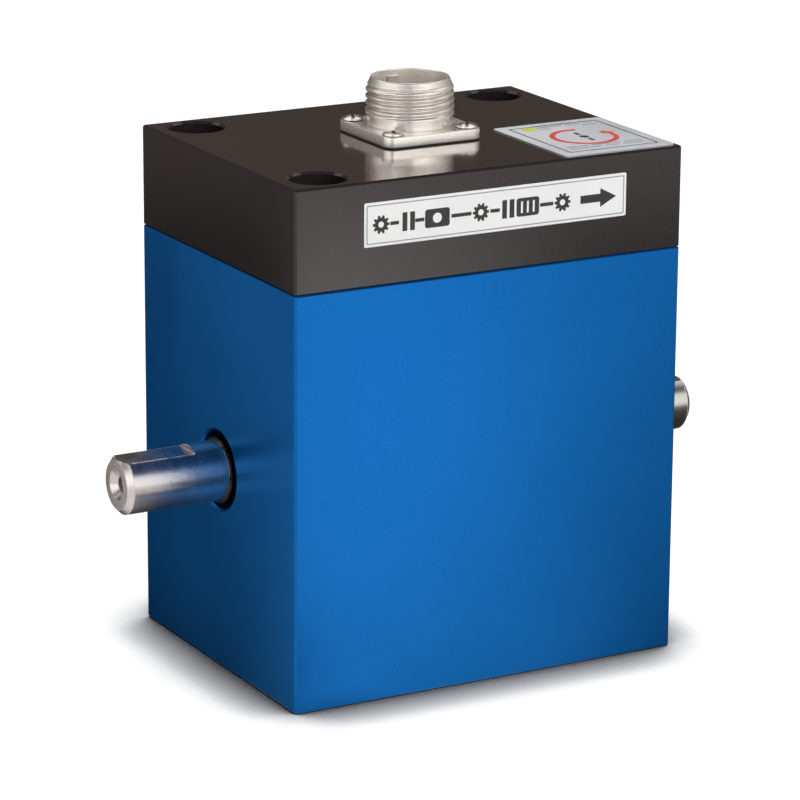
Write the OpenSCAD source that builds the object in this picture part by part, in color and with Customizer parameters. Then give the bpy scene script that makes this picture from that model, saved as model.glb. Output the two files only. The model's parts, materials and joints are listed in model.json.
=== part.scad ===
// Torque sensor: a blue block housing under a black cover. A measuring shaft runs through it on
// two ball bearings, and a threaded connector stands on top.
// Millimetres. The origin is the centre of the base, X runs along the shaft and Z is up.

/* [Housing] */
// Length of the housing along the shaft
housing_l = 78; // [76:0.5:100]
// Depth of the housing across the shaft
housing_d = 60; // [58:0.5:80]
// Height of the housing
housing_h = 75.85; // [74:0.05:90]
// Height of the shaft axis above the base
axis_h = 37; // [36:0.5:38]
// Thickness of the two walls that the shaft passes through
end_wall = 10; // [8:0.5:10.5]
// Thickness of the two walls beside the shaft
side_wall = 9; // [8:0.5:9.5]
// Thickness of the floor under the inner parts
floor_t = 14; // [12:0.5:15]
// Corner radius of the milled pocket
pocket_r = 5; // [3.5:0.5:8]
// Diameter of the holes that the shaft passes through
shaft_hole_d = 14.5; // [13.5:0.1:16]
// Break on the outer edges
edge_break = 0.4; // [0.2:0.1:1]
// Break on the edges where the housing and the cover meet
seam_break = 0.2; // [0.1:0.1:0.5]
// Play between the pocket and what is set into it
pocket_play = 0.2; // [0.1:0.05:0.4]

/* [Base threads] */
// Thread size in the base
base_thread_d = 5; // [4:1:6]
// Depth of the threads in the base
base_thread_depth = 10; // [6:0.5:11]
// Distance from the end wall's face to the thread centres
base_inset_x = 9; // [8.5:0.1:12]
// Distance from the side wall's face to the thread centres
base_inset_y = 8; // [7.2:0.1:10]

/* [Cover] */
// Height of the cover
cover_h = 18.5; // [16:0.5:24]
// Overhang of the cover past the housing on each side
cover_over = 0; // [0:0.1:1]
// Thickness of the cover's roof
roof_t = 6; // [5:0.5:8]
// Thickness of the cover's walls
cover_wall = 10.8; // [9.5:0.1:11.5]
// Corner radius of the cover's pocket
cover_pocket_r = 8; // [6:0.5:11]
// Thickness of the flat seal under the cover
seal_t = 0.15; // [0.1:0.05:1]
// Distance that the seal stays back from the housing's sides
seal_back = 0.5; // [0.3:0.1:1]

/* [Cover screws] */
// Thread size of the cover screws
cover_screw_d = 5; // [4:0.5:5]
// Head diameter of the cover screws
cover_head_d = 8.5; // [7:0.5:9]
// Head height of the cover screws
cover_head_h = 5; // [4:0.5:6]
// Width across the flats of the socket in the head
cover_socket_af = 4; // [3:0.5:4]
// Depth of the socket in the head
cover_socket_depth = 2.5; // [1.5:0.5:3]
// Diameter of the counterbore for the head
counterbore_d = 10; // [9.5:0.1:11]
// Depth of the counterbore below the cover's top
counterbore_depth = 10; // [8:0.5:12]
// Length of thread in the housing
cover_bite = 11; // [8:0.5:14]
// Distance from the end wall's face to the screw centres
screw_inset_x = 7.8; // [7.3:0.1:8]
// Distance from the side wall's face to the screw centres
screw_inset_y = 6.6; // [6.2:0.1:7]

/* [Shaft] */
// Diameter of the shaft ends
shaft_d = 11; // [9:0.1:11.8]
// Length of shaft that stands out of each wall
shaft_out = 20; // [17:0.5:30]
// Diameter of the shaft in its bearings
journal_d = 12; // [11.9:0.1:12.4]
// Height of the shoulder in front of the housing, so that a coupling can't rub on it
shoulder_out = 0.2; // [0.1:0.1:1]
// Chamfer on the shaft ends
shaft_chamfer = 1; // [0.5:0.1:1.2]
// Length of the flat for set screws
flat_l = 14; // [8:0.5:16]
// Depth of the flat
flat_depth = 0.9; // [0.4:0.1:1.2]
// Thread size in the shaft ends
tap_d = 4; // [3:0.5:5]
// Depth of the thread in the shaft ends
tap_depth = 12; // [6:0.5:16]
// Countersink diameter in the shaft ends
countersink_d = 5.7; // [5.2:0.1:7]
// Diameter of the measuring section
gauge_d = 9; // [7:0.1:10.5]
// Length of the measuring section
gauge_l = 11; // [8:0.5:12]
// Place of the measuring section along the shaft
gauge_x = -8; // [-9:0.5:-7.5]

/* [Strain gauges] */
// Length of each strain gauge
pad_l = 5; // [3:0.5:6]
// Width of each strain gauge
pad_w = 4; // [2:0.5:5]
// Thickness of each strain gauge
pad_t = 0.2; // [0.1:0.05:0.4]
// Width of the flat leads
lead_w = 0.8; // [0.5:0.1:1.5]
// Thickness of the flat leads
lead_t = 0.25; // [0.15:0.05:0.5]

/* [Bearings] */
// Outer diameter of the bearings
bearing_od = 21; // [20.6:0.1:21.6]
// Width of the bearings
bearing_w = 5; // [4.5:0.1:5.5]
// Diameter of the balls
ball_d = 2.38; // [2.2:0.02:2.6]
// Number of balls in each bearing
ball_count = 12; // [8:1:14]
// Running clearance round each ball
ball_play = 0.05; // [0.03:0.01:0.1]
// Distance between the shoulders of the two races
race_gap = 1.3; // [1.2:0.05:1.5]
// Radial thickness of the cage
cage_t = 0.9; // [0.6:0.05:0.9]
// Width of the cage
cage_w = 3.4; // [3:0.1:4]
// Thickness of the retaining rings
clip_t = 1; // [0.8:0.1:1.2]
// Play of the retaining rings in their grooves
clip_play = 0.1; // [0.05:0.05:0.2]
// Depth of the groove for the outer retaining ring
outer_groove = 0.5; // [0.3:0.05:0.7]
// Depth of the groove for the shaft's retaining ring
shaft_groove = 0.3; // [0.2:0.05:0.5]
// Radial width of the retaining rings
clip_w = 1.7; // [1.4:0.1:1.9]
// Opening of the retaining rings in degrees
clip_gap = 40; // [20:5:60]
// Diameter of the eyes at the ends of the retaining rings
clip_eye_d = 2.2; // [1.8:0.1:2.4]
// Diameter of the holes in the eyes
clip_hole_d = 1; // [0.6:0.1:1.2]
// Distance that the eyes reach past the retaining rings
clip_eye_out = 0.9; // [0.4:0.1:1]
// Chamfer on the edges of the races
race_break = 0.25; // [0.1:0.05:0.4]

/* [Bearing carrier] */
// Thickness of the carrier's base
carrier_base = 6; // [5:0.5:7]
// Wall round the bearing seats
seat_wall = 3.5; // [2.5:0.1:4]
// Rim outside the retaining ring
rim_t = 2; // [1:0.1:2.5]
// Lip that each bearing rests against
lip_t = 2; // [1.5:0.1:2.2]
// Width of the lip over the outer race
lip_w = 1.5; // [1:0.1:1.5]
// Distance between the wells of the carrier screws and the bearing seats' walls
carrier_well_gap = 0.3; // [0.1:0.1:0.6]
// Distance from the carrier's long edges to its screws
carrier_screw_inset = 4.4; // [4:0.1:6]
// Length of thread of the carrier screws in the floor
carrier_bite = 7; // [5:0.5:9]

/* [Rotary transformer] */
// Place of the transformer along the shaft
coil_x = 8; // [7.5:0.1:8.2]
// Width of the stator
stator_w = 8; // [7:0.5:8]
// Width of the rotor
rotor_w = 7; // [5:0.5:7]
// Outer diameter of the rotor
rotor_d = 17.6; // [16.8:0.1:17.8]
// Air gap between rotor and stator
air_gap = 0.4; // [0.3:0.05:0.6]
// Outer diameter of the stator
stator_d = 25; // [24:0.5:26]
// Wall of the two bobbins
bobbin_t = 0.9; // [0.6:0.1:1.2]
// Distance that the windings stay below the bobbins' edges
winding_low = 0.5; // [0.2:0.1:1]
// Thickness of the strap
strap_t = 1; // [0.8:0.1:1.3]
// Play between the strap's arch and the heads of its screws
strap_play = 0.2; // [0.1:0.05:0.4]
// Distance from the strap's screws to the ends of its feet
strap_edge = 2; // [1.8:0.1:2.4]

/* [Circuit board] */
// Length of the circuit board
board_l = 48; // [44:0.5:52]
// Depth of the circuit board
board_d = 32; // [28:0.5:34]
// Thickness of the circuit board
board_t = 1.6; // [1:0.1:2]
// Length of the standoffs under the roof
standoff_l = 12; // [11:0.5:13]
// Width across the flats of the standoffs
standoff_af = 5.5; // [5:0.1:6]
// Distance from the board's edges to the standoffs
standoff_inset = 4; // [3.5:0.1:6]
// Diameter of the wires
wire_d = 0.9; // [0.5:0.1:1.2]
// Distance between the two stator wires
stator_wire_gap = 4; // [2:0.5:8]
// Height of the stator wires above the inside of the winding
stator_wire_rise = 1; // [0.6:0.1:2]

/* [Board parts] */
// Corner radius of the circuit board
board_r = 1; // [0.5:0.1:3]
// Width of the two square chips
chip_w = 7; // [5:0.5:9]
// Thickness of the two square chips
chip_t = 1.2; // [0.8:0.1:2]
// Distance of the square chips from the middle of the board
chip_x = 12; // [9.5:0.5:13]
// Length of the two converters
converter_l = 6; // [4:0.5:8]
// Width of the two converters
converter_w = 4; // [3:0.5:5]
// Thickness of the two converters
converter_t = 1.6; // [1:0.1:2.5]
// Distance of the converters from the board's long edges
converter_inset = 2; // [1:0.5:3]
// Diameter of the two capacitors
capacitor_d = 4; // [3:0.5:5]
// Height of the two capacitors
capacitor_h = 5; // [3:0.5:6]
// Distance of the capacitors from the middle of the board
capacitor_y = 8; // [7.5:0.5:9.5]

/* [Inner screws] */
// Thread size of the carrier screws
carrier_screw_d = 3; // [2.5:0.1:3]
// Head diameter of the carrier screws
carrier_head_d = 5.5; // [5:0.1:5.8]
// Head height of the carrier screws
carrier_head_h = 3; // [2:0.1:4]
// Width across the flats of the carrier screws' socket
carrier_socket_af = 2.5; // [2:0.1:2.5]
// Depth of the carrier screws' socket
carrier_socket_depth = 1.5; // [1:0.1:1.8]
// Diameter of the wells for the carrier screws' heads
carrier_well_d = 6; // [5.8:0.1:6.4]
// Thread size of the strap screws
strap_screw_d = 2; // [1.6:0.1:2]
// Head diameter of the strap screws
strap_head_d = 3.4; // [3:0.1:3.8]
// Head height of the strap screws
strap_head_h = 1.4; // [1:0.1:2]
// Length of thread of the strap screws in the carrier
strap_bite = 5; // [3:0.5:8]
// Thread size of the board screws and of the standoffs' studs
board_screw_d = 3; // [2.5:0.1:3]
// Head diameter of the board screws
board_head_d = 5.5; // [5:0.1:6]
// Head height of the board screws
board_head_h = 1.8; // [1.2:0.1:2.5]
// Length of the standoffs' studs and of the thread of the board screws
stud_l = 4; // [2.5:0.5:4.5]

/* [Connector] */
// Width of the square flange
flange_w = 19.5; // [19:0.1:24]
// Thickness of the flange
flange_t = 1.8; // [1.2:0.05:3]
// Corner radius of the flange
flange_r = 2; // [1:0.1:3]
// Thickness of the gasket under the flange
gasket_t = 0.3; // [0.2:0.05:1]
// Distance from the centre to the flange screws
flange_screw = 7.55; // [7.4:0.05:8]
// Outer diameter of the thread
thread_d = 16; // [15.5:0.1:16.5]
// Length of the thread
thread_l = 6.7; // [5:0.1:12]
// Height of the lead-in chamfer
lead_in = 1.1; // [0.6:0.1:1.5]
// Distance that the neck under the thread stays back from the thread
neck_step = 0.25; // [0.2:0.05:0.6]
// Height of the neck
neck_h = 2; // [1.5:0.1:4]
// Inner diameter of the shell
shell_bore_d = 13.2; // [12.6:0.1:13.6]
// Wall of the shell at its rim
rim_wall = 0.5; // [0.3:0.05:0.7]
// Length of the shell behind the flange
rear_l = 9; // [8:0.5:10]
// Diameter of the shell behind the flange
rear_d = 14.5; // [14.2:0.1:15]
// Play between the shell and the hole in the roof
rear_play = 0.15; // [0.1:0.05:0.4]
// Depth of the insert's face below the rim
insert_deep = 8; // [6.5:0.1:8.5]
// Depth of the pin tips below the rim
tip_deep = 5.2; // [4.8:0.1:6]
// Diameter of the pins
pin_d = 1; // [0.6:0.1:1.2]
// Radius of the outer ring of pins
outer_ring_r = 4.3; // [4:0.1:4.8]
// Number of pins in the outer ring
outer_pins = 8; // [4:1:10]
// Radius of the inner ring of pins
inner_ring_r = 1.9; // [1.6:0.1:2.2]
// Number of pins in the inner ring
inner_pins = 4; // [3:1:5]
// Length of the pins behind the insert
tail_l = 2.5; // [1.5:0.1:3]
// Width of the key in the shell
key_w = 2; // [1:0.1:2.5]
// Height of the key in the shell
key_h = 0.6; // [0.4:0.1:0.8]
// Diameter of the flange screws' heads
flange_head_d = 4; // [3.6:0.1:4.2]
// Height of the flange screws' heads
flange_head_h = 0.9; // [0.6:0.1:1.6]
// Thread size of the flange screws
flange_screw_d = 2; // [1.6:0.1:2.2]
// Length of the flange screws' thread in the cover
flange_bite = 4; // [3:0.5:4.5]

/* [Labels] */
// Length of the front label
front_label_l = 52.9; // [30:0.1:60]
// Height of the front label
front_label_h = 7.8; // [5:0.1:10]
// Distance of the front label from the cover's left edge
front_label_left = 13.3; // [8:0.1:16]
// Distance of the front label from the cover's lower edge
front_label_rise = 7; // [4:0.1:8]
// Length of the top label
top_label_l = 22.8; // [15:0.1:24]
// Depth of the top label
top_label_d = 25.8; // [15:0.1:30]
// Distance of the top label from the cover's right edge
top_label_right = 0.8; // [0.8:0.1:3]
// Distance of the top label from the cover's front edge
top_label_front = 1.1; // [0.8:0.1:6]
// Thickness of the labels
label_t = 0.2; // [0.1:0.05:0.4]
// Corner radius of the front label
front_label_r = 0.3; // [0.2:0.1:1.5]
// Corner radius of the top label
top_label_r = 0.8; // [0.2:0.1:3]

/* [Hidden] */
$fn = 72;

// Overshoot of cutting tools past a face
past = 1;
// Share of a thread's size that its core has
core = 0.84;
// Share of a thread's size that its through hole has
through = 1.1;
// Shares of a pan head's diameter that its cross recess has in width and in length
recess_w = 0.14;
recess_l = 0.6;
// Shares of a pan head's height that its cross recess goes down and that its dome takes up
recess_depth = 0.5;
dome_share = 0.5;

// Inner plan of the housing
pocket_l = housing_l - 2 * end_wall;
pocket_d = housing_d - 2 * side_wall;

// Cover
cover_l = housing_l + 2 * cover_over;
cover_d = housing_d + 2 * cover_over;
cover_z = housing_h + seal_t;
cover_top = cover_z + cover_h;
roof_z = cover_top - roof_t;
bay_l = cover_l - 2 * cover_wall;
bay_d = cover_d - 2 * cover_wall;
screw_x = housing_l / 2 - screw_inset_x;
screw_y = housing_d / 2 - screw_inset_y;
screw_seat_z = cover_top - counterbore_depth;

// Shaft
shaft_r = shaft_d / 2;
journal_r = journal_d / 2;
gauge_r = gauge_d / 2;
shaft_end = housing_l / 2 + shaft_out;
shaft_straight = shaft_end - shaft_chamfer;
// Angle that the shaft's round surface is turned by, so that its seam is well away from the flats
seam_turn = 37.5;
shoulder_x = housing_l / 2 + shoulder_out;

// Bearings, counted inwards from the end of the carrier
carrier_l = pocket_l - 2 * pocket_play;
carrier_d = pocket_d - 2 * pocket_play;
seat_r = bearing_od / 2;
ball_r = ball_d / 2;
pitch_r = (journal_r + seat_r) / 2;
clip_slot = clip_t + clip_play;
bearing_face = carrier_l / 2 - rim_t - clip_slot;
bearing_x = bearing_face - bearing_w / 2;
bearing_back = bearing_face - bearing_w;
cheek_t = carrier_l / 2 - bearing_back + lip_t;
cheek_r = seat_r + outer_groove + seat_wall;

// Rotary transformer
rotor_r = rotor_d / 2;
stator_bore_r = rotor_r + air_gap;
stator_r = stator_d / 2;
strap_screw_y = stator_r + strap_t + strap_play + strap_head_d / 2;
strap_reach = strap_screw_y + strap_edge;

// Carrier, counted upwards from the pocket's floor
carrier_top = floor_t + carrier_base;
carrier_seat_z = carrier_top - carrier_head_h;
carrier_screw_x = carrier_l / 2 - cheek_t - carrier_well_gap - carrier_well_d / 2;
carrier_screw_y = carrier_d / 2 - carrier_screw_inset;

// Circuit board
board_top = roof_z - standoff_l;
board_x = board_l / 2 - standoff_inset;
board_y = board_d / 2 - standoff_inset;
board_under = board_top - board_t;

// Connector, counted upwards from the cover
flange_z = cover_top + gasket_t;
neck_z = flange_z + flange_t;
thread_z = neck_z + neck_h;
rim_z = thread_z + thread_l;
rim_r = shell_bore_d / 2 + rim_wall;
rear_z = flange_z - rear_l;
tail_z = rear_z - tail_l;

// Rectangle with its lower and upper corners cut at 45 degrees
module cut_rect(a, b, low, high) {
    polygon([[low - a / 2, -b / 2], [a / 2 - low, -b / 2],
             [a / 2, low - b / 2], [a / 2, b / 2 - high],
             [a / 2 - high, b / 2], [high - a / 2, b / 2],
             [-a / 2, b / 2 - high], [-a / 2, low - b / 2]]);
}

// Rectangle with round corners
module round_rect(a, b, r) {
    square([a - 2 * r, b], center = true);
    square([a, b - 2 * r], center = true);
    for (x = [-1, 1], y = [-1, 1])
        translate([x * (a / 2 - r), y * (b / 2 - r)]) circle(r);
}

// Block with its upright edges broken, and its lower and upper ones by sizes of their own
module broken_block(l, d, h, low, high) {
    intersection() {
        linear_extrude(h) cut_rect(l, d, edge_break, edge_break);
        translate([-l / 2, 0, h / 2])
            rotate([90, 0, 90]) linear_extrude(l) cut_rect(d, h, low, high);
        translate([0, d / 2, h / 2])
            rotate([90, 0, 0]) linear_extrude(d) cut_rect(l, h, low, high);
    }
}

// One child at each corner of a rectangle
module at_corners(x, y) {
    for (sx = [-1, 1], sy = [-1, 1]) translate([sx * x, sy * y, 0]) children();
}

// Turns what stands on Z to lie along the shaft axis
module on_axis(x = 0) {
    translate([x, 0, axis_h]) rotate([0, 90, 0]) children();
}

// Round bar or bore on the shaft axis between two places
module bar(from, to, r) {
    on_axis(from) cylinder(h = to - from, r = r);
}

// Ring on the shaft axis, centred at x
module ring(x, w, inner, outer) {
    on_axis(x) rotate_extrude() translate([inner, -w / 2]) square([outer - inner, w]);
}

// Socket head screw, its head standing on Z = 0
module socket_screw(d, head_d, head_h, af, socket, shank, bite) {
    difference() {
        cylinder(h = head_h, d = head_d);
        translate([0, 0, head_h - socket])
            cylinder(h = socket + past, d = af / cos(30), $fn = 6);
    }
    translate([0, 0, -shank]) cylinder(h = shank, d = d);
    translate([0, 0, -shank - bite]) cylinder(h = bite, d = core * d);
}

// Pan head screw with a cross recess, its head standing on Z = 0
module pan_screw(d, head_d, head_h, shank, bite) {
    rise = dome_share * head_h;
    dome_r = (pow(head_d / 2, 2) + pow(rise, 2)) / (2 * rise);
    slot_w = recess_w * head_d;
    slot_l = recess_l * head_d;
    difference() {
        intersection() {
            cylinder(h = head_h, d = head_d);
            translate([0, 0, head_h - dome_r]) sphere(dome_r);
        }
        for (a = [0, 90]) rotate(a)
            translate([-slot_l / 2, -slot_w / 2, (1 - recess_depth) * head_h])
            cube([slot_l, slot_w, head_h]);
    }
    translate([0, 0, -shank]) cylinder(h = shank, d = d);
    translate([0, 0, -shank - bite]) cylinder(h = bite, d = core * d);
}

module housing() {
    color("royalblue") difference() {
        broken_block(housing_l, housing_d, housing_h, edge_break, seam_break);
        translate([0, 0, floor_t])
            linear_extrude(housing_h) round_rect(pocket_l, pocket_d, pocket_r);
        bar(-housing_l / 2 - past, housing_l / 2 + past, shaft_hole_d / 2);
        for (s = [-1, 1]) translate([s * housing_l / 2, 0, axis_h]) rotate([0, -90 * s, 0])
            cylinder(h = edge_break, d1 = shaft_hole_d + 2 * edge_break, d2 = shaft_hole_d);
        at_corners(screw_x, screw_y) translate([0, 0, housing_h - cover_bite - past])
            cylinder(h = cover_bite + 2 * past, d = core * cover_screw_d);
        at_corners(housing_l / 2 - base_inset_x, housing_d / 2 - base_inset_y)
            translate([0, 0, -past])
            cylinder(h = base_thread_depth + past, d = core * base_thread_d);
        at_corners(carrier_screw_x, carrier_screw_y)
            translate([0, 0, floor_t - carrier_bite - past])
            cylinder(h = carrier_bite + 2 * past, d = core * carrier_screw_d);
    }
}

module cover() {
    color("#3f3c3d") difference() {
        translate([0, 0, cover_z])
            broken_block(cover_l, cover_d, cover_h, seam_break, edge_break);
        translate([0, 0, cover_z - past])
            linear_extrude(cover_h - roof_t + past) round_rect(bay_l, bay_d, cover_pocket_r);
        at_corners(screw_x, screw_y) {
            translate([0, 0, cover_z - past])
                cylinder(h = cover_h + 2 * past, d = through * cover_screw_d);
            translate([0, 0, screw_seat_z])
                cylinder(h = counterbore_depth + past, d = counterbore_d);
            translate([0, 0, cover_top - edge_break])
                cylinder(h = edge_break, d1 = counterbore_d, d2 = counterbore_d + 2 * edge_break);
        }
        translate([0, 0, roof_z - past])
            cylinder(h = roof_t + 2 * past, d = rear_d + 2 * rear_play);
        at_corners(flange_screw, flange_screw) translate([0, 0, cover_top - flange_bite])
            cylinder(h = flange_bite + past, d = core * flange_screw_d);
        at_corners(board_x, board_y) translate([0, 0, roof_z - past])
            cylinder(h = stud_l + past, d = core * board_screw_d);
    }
}

module cover_seal() {
    color("#202020") translate([0, 0, housing_h]) linear_extrude(seal_t) difference() {
        square([housing_l - 2 * seal_back, housing_d - 2 * seal_back], center = true);
        round_rect(pocket_l, pocket_d, pocket_r);
        for (x = [-1, 1], y = [-1, 1])
            translate([x * screw_x, y * screw_y]) circle(d = through * cover_screw_d);
    }
}

module cover_screws() {
    color("#1c1c1e") at_corners(screw_x, screw_y) translate([0, 0, screw_seat_z])
        socket_screw(cover_screw_d, cover_head_d, cover_head_h, cover_socket_af,
                     cover_socket_depth, screw_seat_z - housing_h, cover_bite);
}

module front_label() {
    color("white")
        translate([front_label_left - cover_l / 2 + front_label_l / 2, -cover_d / 2,
                   cover_z + front_label_rise + front_label_h / 2])
        rotate([90, 0, 0]) linear_extrude(label_t)
        round_rect(front_label_l, front_label_h, front_label_r);
}

module top_label() {
    color("silver")
        translate([cover_l / 2 - top_label_right - top_label_l / 2,
                   top_label_front - cover_d / 2 + top_label_d / 2, cover_top])
        linear_extrude(label_t) round_rect(top_label_l, top_label_d, top_label_r);
}

// Screw holes of the flange and its gasket
module flange_holes() {
    for (x = [-1, 1], y = [-1, 1])
        translate([x * flange_screw, y * flange_screw]) circle(d = through * flange_screw_d);
}

module connector_shell() {
    bore_r = shell_bore_d / 2;
    neck_r = thread_d / 2 - neck_step;
    step_z = flange_z + flange_t / 2;
    color("#cfc8ba") {
        translate([0, 0, flange_z]) linear_extrude(flange_t) difference() {
            round_rect(flange_w, flange_w, flange_r);
            circle(bore_r);
            flange_holes();
        }
        rotate_extrude() polygon([[bore_r, rear_z], [rear_d / 2, rear_z], [rear_d / 2, step_z],
            [neck_r, step_z], [neck_r, thread_z], [thread_d / 2, thread_z],
            [thread_d / 2, rim_z - lead_in], [rim_r, rim_z], [bore_r, rim_z]]);
        translate([-key_w / 2, bore_r - key_h, rim_z - insert_deep])
            cube([key_w, key_h + rim_wall / 2, insert_deep - lead_in]);
    }
}

module connector_gasket() {
    color("#181818") translate([0, 0, cover_top]) linear_extrude(gasket_t) difference() {
        round_rect(flange_w, flange_w, flange_r);
        circle(d = rear_d + 2 * rear_play);
        flange_holes();
    }
}

// Places evenly spaced on a circle
function circle_places(count, r) =
    [for (i = [0 : count - 1]) r * [cos(360 * i / count), sin(360 * i / count)]];

// Places of the connector's pins
pin_places = concat(circle_places(outer_pins, outer_ring_r),
                    circle_places(inner_pins, inner_ring_r));

module connector_insert() {
    color("#151515") difference() {
        translate([0, 0, rear_z])
            cylinder(h = rim_z - insert_deep - rear_z, d = shell_bore_d);
        for (p = pin_places) translate([p[0], p[1], rear_z - past])
            cylinder(h = rim_z - rear_z, d = pin_d);
    }
}

module connector_pins() {
    color("gold") for (p = pin_places) translate([p[0], p[1], tail_z])
        cylinder(h = rim_z - tip_deep - tail_z, d = pin_d);
}

module connector_screws() {
    color("#d8d4cc") at_corners(flange_screw, flange_screw) translate([0, 0, neck_z])
        pan_screw(flange_screw_d, flange_head_d, flange_head_h, neck_z - cover_top, flange_bite);
}

module connector_leads() {
    color("#a03030") for (p = pin_places) translate([p[0], p[1], board_top])
        cylinder(h = tail_z - board_top, d = wire_d);
}

// Outline of a bearing cheek, seen along the shaft
module cheek_outline() {
    circle(cheek_r);
    translate([-cheek_r, carrier_top - axis_h]) square([2 * cheek_r, axis_h - carrier_top]);
}

module bearing_carrier() {
    color("#9aa0a6") difference() {
        union() {
            translate([0, 0, floor_t])
                linear_extrude(carrier_base) round_rect(carrier_l, carrier_d, pocket_r);
            for (s = [-1, 1]) translate([s * (carrier_l - cheek_t) / 2 - cheek_t / 2, 0, axis_h])
                rotate([90, 0, 90]) linear_extrude(cheek_t) cheek_outline();
            translate([coil_x - stator_w / 2, -strap_reach, carrier_top])
                cube([stator_w, 2 * strap_reach, axis_h - carrier_top]);
        }
        for (s = [-1, 1]) {
            ring(s * (bearing_back + carrier_l / 2 + past) / 2, carrier_l / 2 + past - bearing_back,
                 0, seat_r);
            ring(s * (bearing_face + clip_slot / 2), clip_slot,
                 seat_r - past, seat_r + outer_groove);
        }
        bar(-carrier_l / 2 - past, carrier_l / 2 + past, seat_r - lip_w);
        ring(coil_x, stator_w + past, 0, stator_r);
        at_corners(carrier_screw_x, carrier_screw_y) {
            translate([0, 0, floor_t - past])
                cylinder(h = carrier_base + 2 * past, d = through * carrier_screw_d);
            translate([0, 0, carrier_seat_z])
                cylinder(h = carrier_head_h + past, d = carrier_well_d);
        }
        for (s = [-1, 1]) translate([coil_x, s * strap_screw_y, axis_h - strap_bite - past])
            cylinder(h = strap_bite + 2 * past, d = core * strap_screw_d);
    }
}

module carrier_screws() {
    color("#1c1c1e") at_corners(carrier_screw_x, carrier_screw_y)
        translate([0, 0, carrier_seat_z])
        socket_screw(carrier_screw_d, carrier_head_d, carrier_head_h, carrier_socket_af,
                     carrier_socket_depth, carrier_seat_z - floor_t, carrier_bite);
}

// Race of a ball bearing between two radii, with the groove that the balls run in
module race(s, inner, outer) {
    color("#c4c8cc") on_axis(s * bearing_x) rotate_extrude() difference() {
        translate([(inner + outer) / 2, 0])
            cut_rect(outer - inner, bearing_w, race_break, race_break);
        translate([pitch_r, 0]) circle(ball_r + ball_play);
    }
}

module outer_race(s) {
    race(s, pitch_r + race_gap / 2, seat_r);
}

module inner_race(s) {
    race(s, journal_r, pitch_r - race_gap / 2);
}

// One child at each ball's place, with its Z axis pointing away from the shaft
module at_balls(s) {
    for (i = [0 : ball_count - 1]) on_axis(s * bearing_x)
        rotate(360 * i / ball_count) translate([pitch_r, 0, 0]) rotate([0, 90, 0]) children();
}

module balls(s) {
    color("#e6e8ea") at_balls(s) sphere(ball_r);
}

module cage(s) {
    color("#b89050") difference() {
        ring(s * bearing_x, cage_w, pitch_r - cage_t / 2, pitch_r + cage_t / 2);
        at_balls(s) cylinder(h = 2 * cage_t, r = ball_r + ball_play, center = true);
    }
}

// Open retaining ring on the shaft axis, its gap at the bottom, with an eye at each end
module retaining_ring(x, inner, outer, eye_at) {
    eye_angle = clip_gap / 2 + asin(clip_eye_d / (2 * eye_at));
    difference() {
        union() {
            difference() {
                ring(x, clip_t, inner, outer);
                on_axis(x - clip_t) linear_extrude(2 * clip_t)
                    polygon([[0, 0], 2 * outer * [cos(clip_gap / 2), sin(clip_gap / 2)],
                             2 * outer * [cos(clip_gap / 2), -sin(clip_gap / 2)]]);
            }
            on_axis(x - clip_t / 2) for (s = [-1, 1]) rotate(s * eye_angle)
                translate([eye_at, 0, 0]) cylinder(h = clip_t, d = clip_eye_d);
        }
        on_axis(x - clip_t) for (s = [-1, 1]) rotate(s * eye_angle)
            translate([eye_at, 0, 0]) cylinder(h = 2 * clip_t, d = clip_hole_d);
    }
}

module bearing_clips() {
    clip_r = seat_r + outer_groove;
    color("#55585c") for (s = [-1, 1])
        retaining_ring(s * (bearing_face + clip_t / 2), clip_r - clip_w, clip_r,
                       clip_r - clip_w - clip_eye_out + clip_eye_d / 2);
}

module shaft_clips() {
    clip_r = journal_r - shaft_groove;
    color("#55585c") for (s = [-1, 1])
        retaining_ring(s * (bearing_back - clip_t / 2), clip_r, clip_r + clip_w,
                       clip_r + clip_w + clip_eye_out - clip_eye_d / 2);
}

// Half profile of the turned shaft: its ends, journals, ring grooves and measuring section
module shaft_profile() {
    over = journal_r + past - gauge_r;
    difference() {
        polygon([[0, -shaft_end], [shaft_r - shaft_chamfer, -shaft_end], [shaft_r, -shaft_straight],
                 [shaft_r, -shoulder_x], [journal_r, -shoulder_x], [journal_r, shoulder_x],
                 [shaft_r, shoulder_x], [shaft_r, shaft_straight],
                 [shaft_r - shaft_chamfer, shaft_end], [0, shaft_end]]);
        for (s = [-1, 1]) translate([journal_r - shaft_groove,
                                     s * (bearing_back - clip_slot / 2) - clip_slot / 2])
            square([shaft_groove + past, clip_slot]);
        polygon([[gauge_r, gauge_x - gauge_l / 2], [gauge_r, gauge_x + gauge_l / 2],
                 [gauge_r + over, gauge_x + gauge_l / 2 + over],
                 [gauge_r + over, gauge_x - gauge_l / 2 - over]]);
    }
}

// Threaded centre hole in a shaft end, drilled from Z = 0 downwards
module centre_hole() {
    core_r = core * tap_d / 2;
    sink = countersink_d / 2 - core_r;
    translate([0, 0, -tap_depth]) cylinder(h = tap_depth + past, r = core_r);
    translate([0, 0, -tap_depth - core_r / 2]) cylinder(h = core_r / 2, r1 = 0, r2 = core_r);
    translate([0, 0, -sink]) cylinder(h = sink, r1 = core_r, r2 = countersink_d / 2);
}

module torque_shaft() {
    color("#c9ccd2") difference() {
        on_axis() rotate(seam_turn) rotate_extrude() shaft_profile();
        for (s = [-1, 1]) {
            translate([s * (shaft_end - flat_l / 2 + past / 2), 0,
                       axis_h + shaft_r - flat_depth + past])
                cube([flat_l + past, 2 * shaft_d, 2 * past], center = true);
            translate([s * shaft_end, 0, axis_h]) rotate([0, 90 * s, 0]) centre_hole();
        }
    }
}

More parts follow.
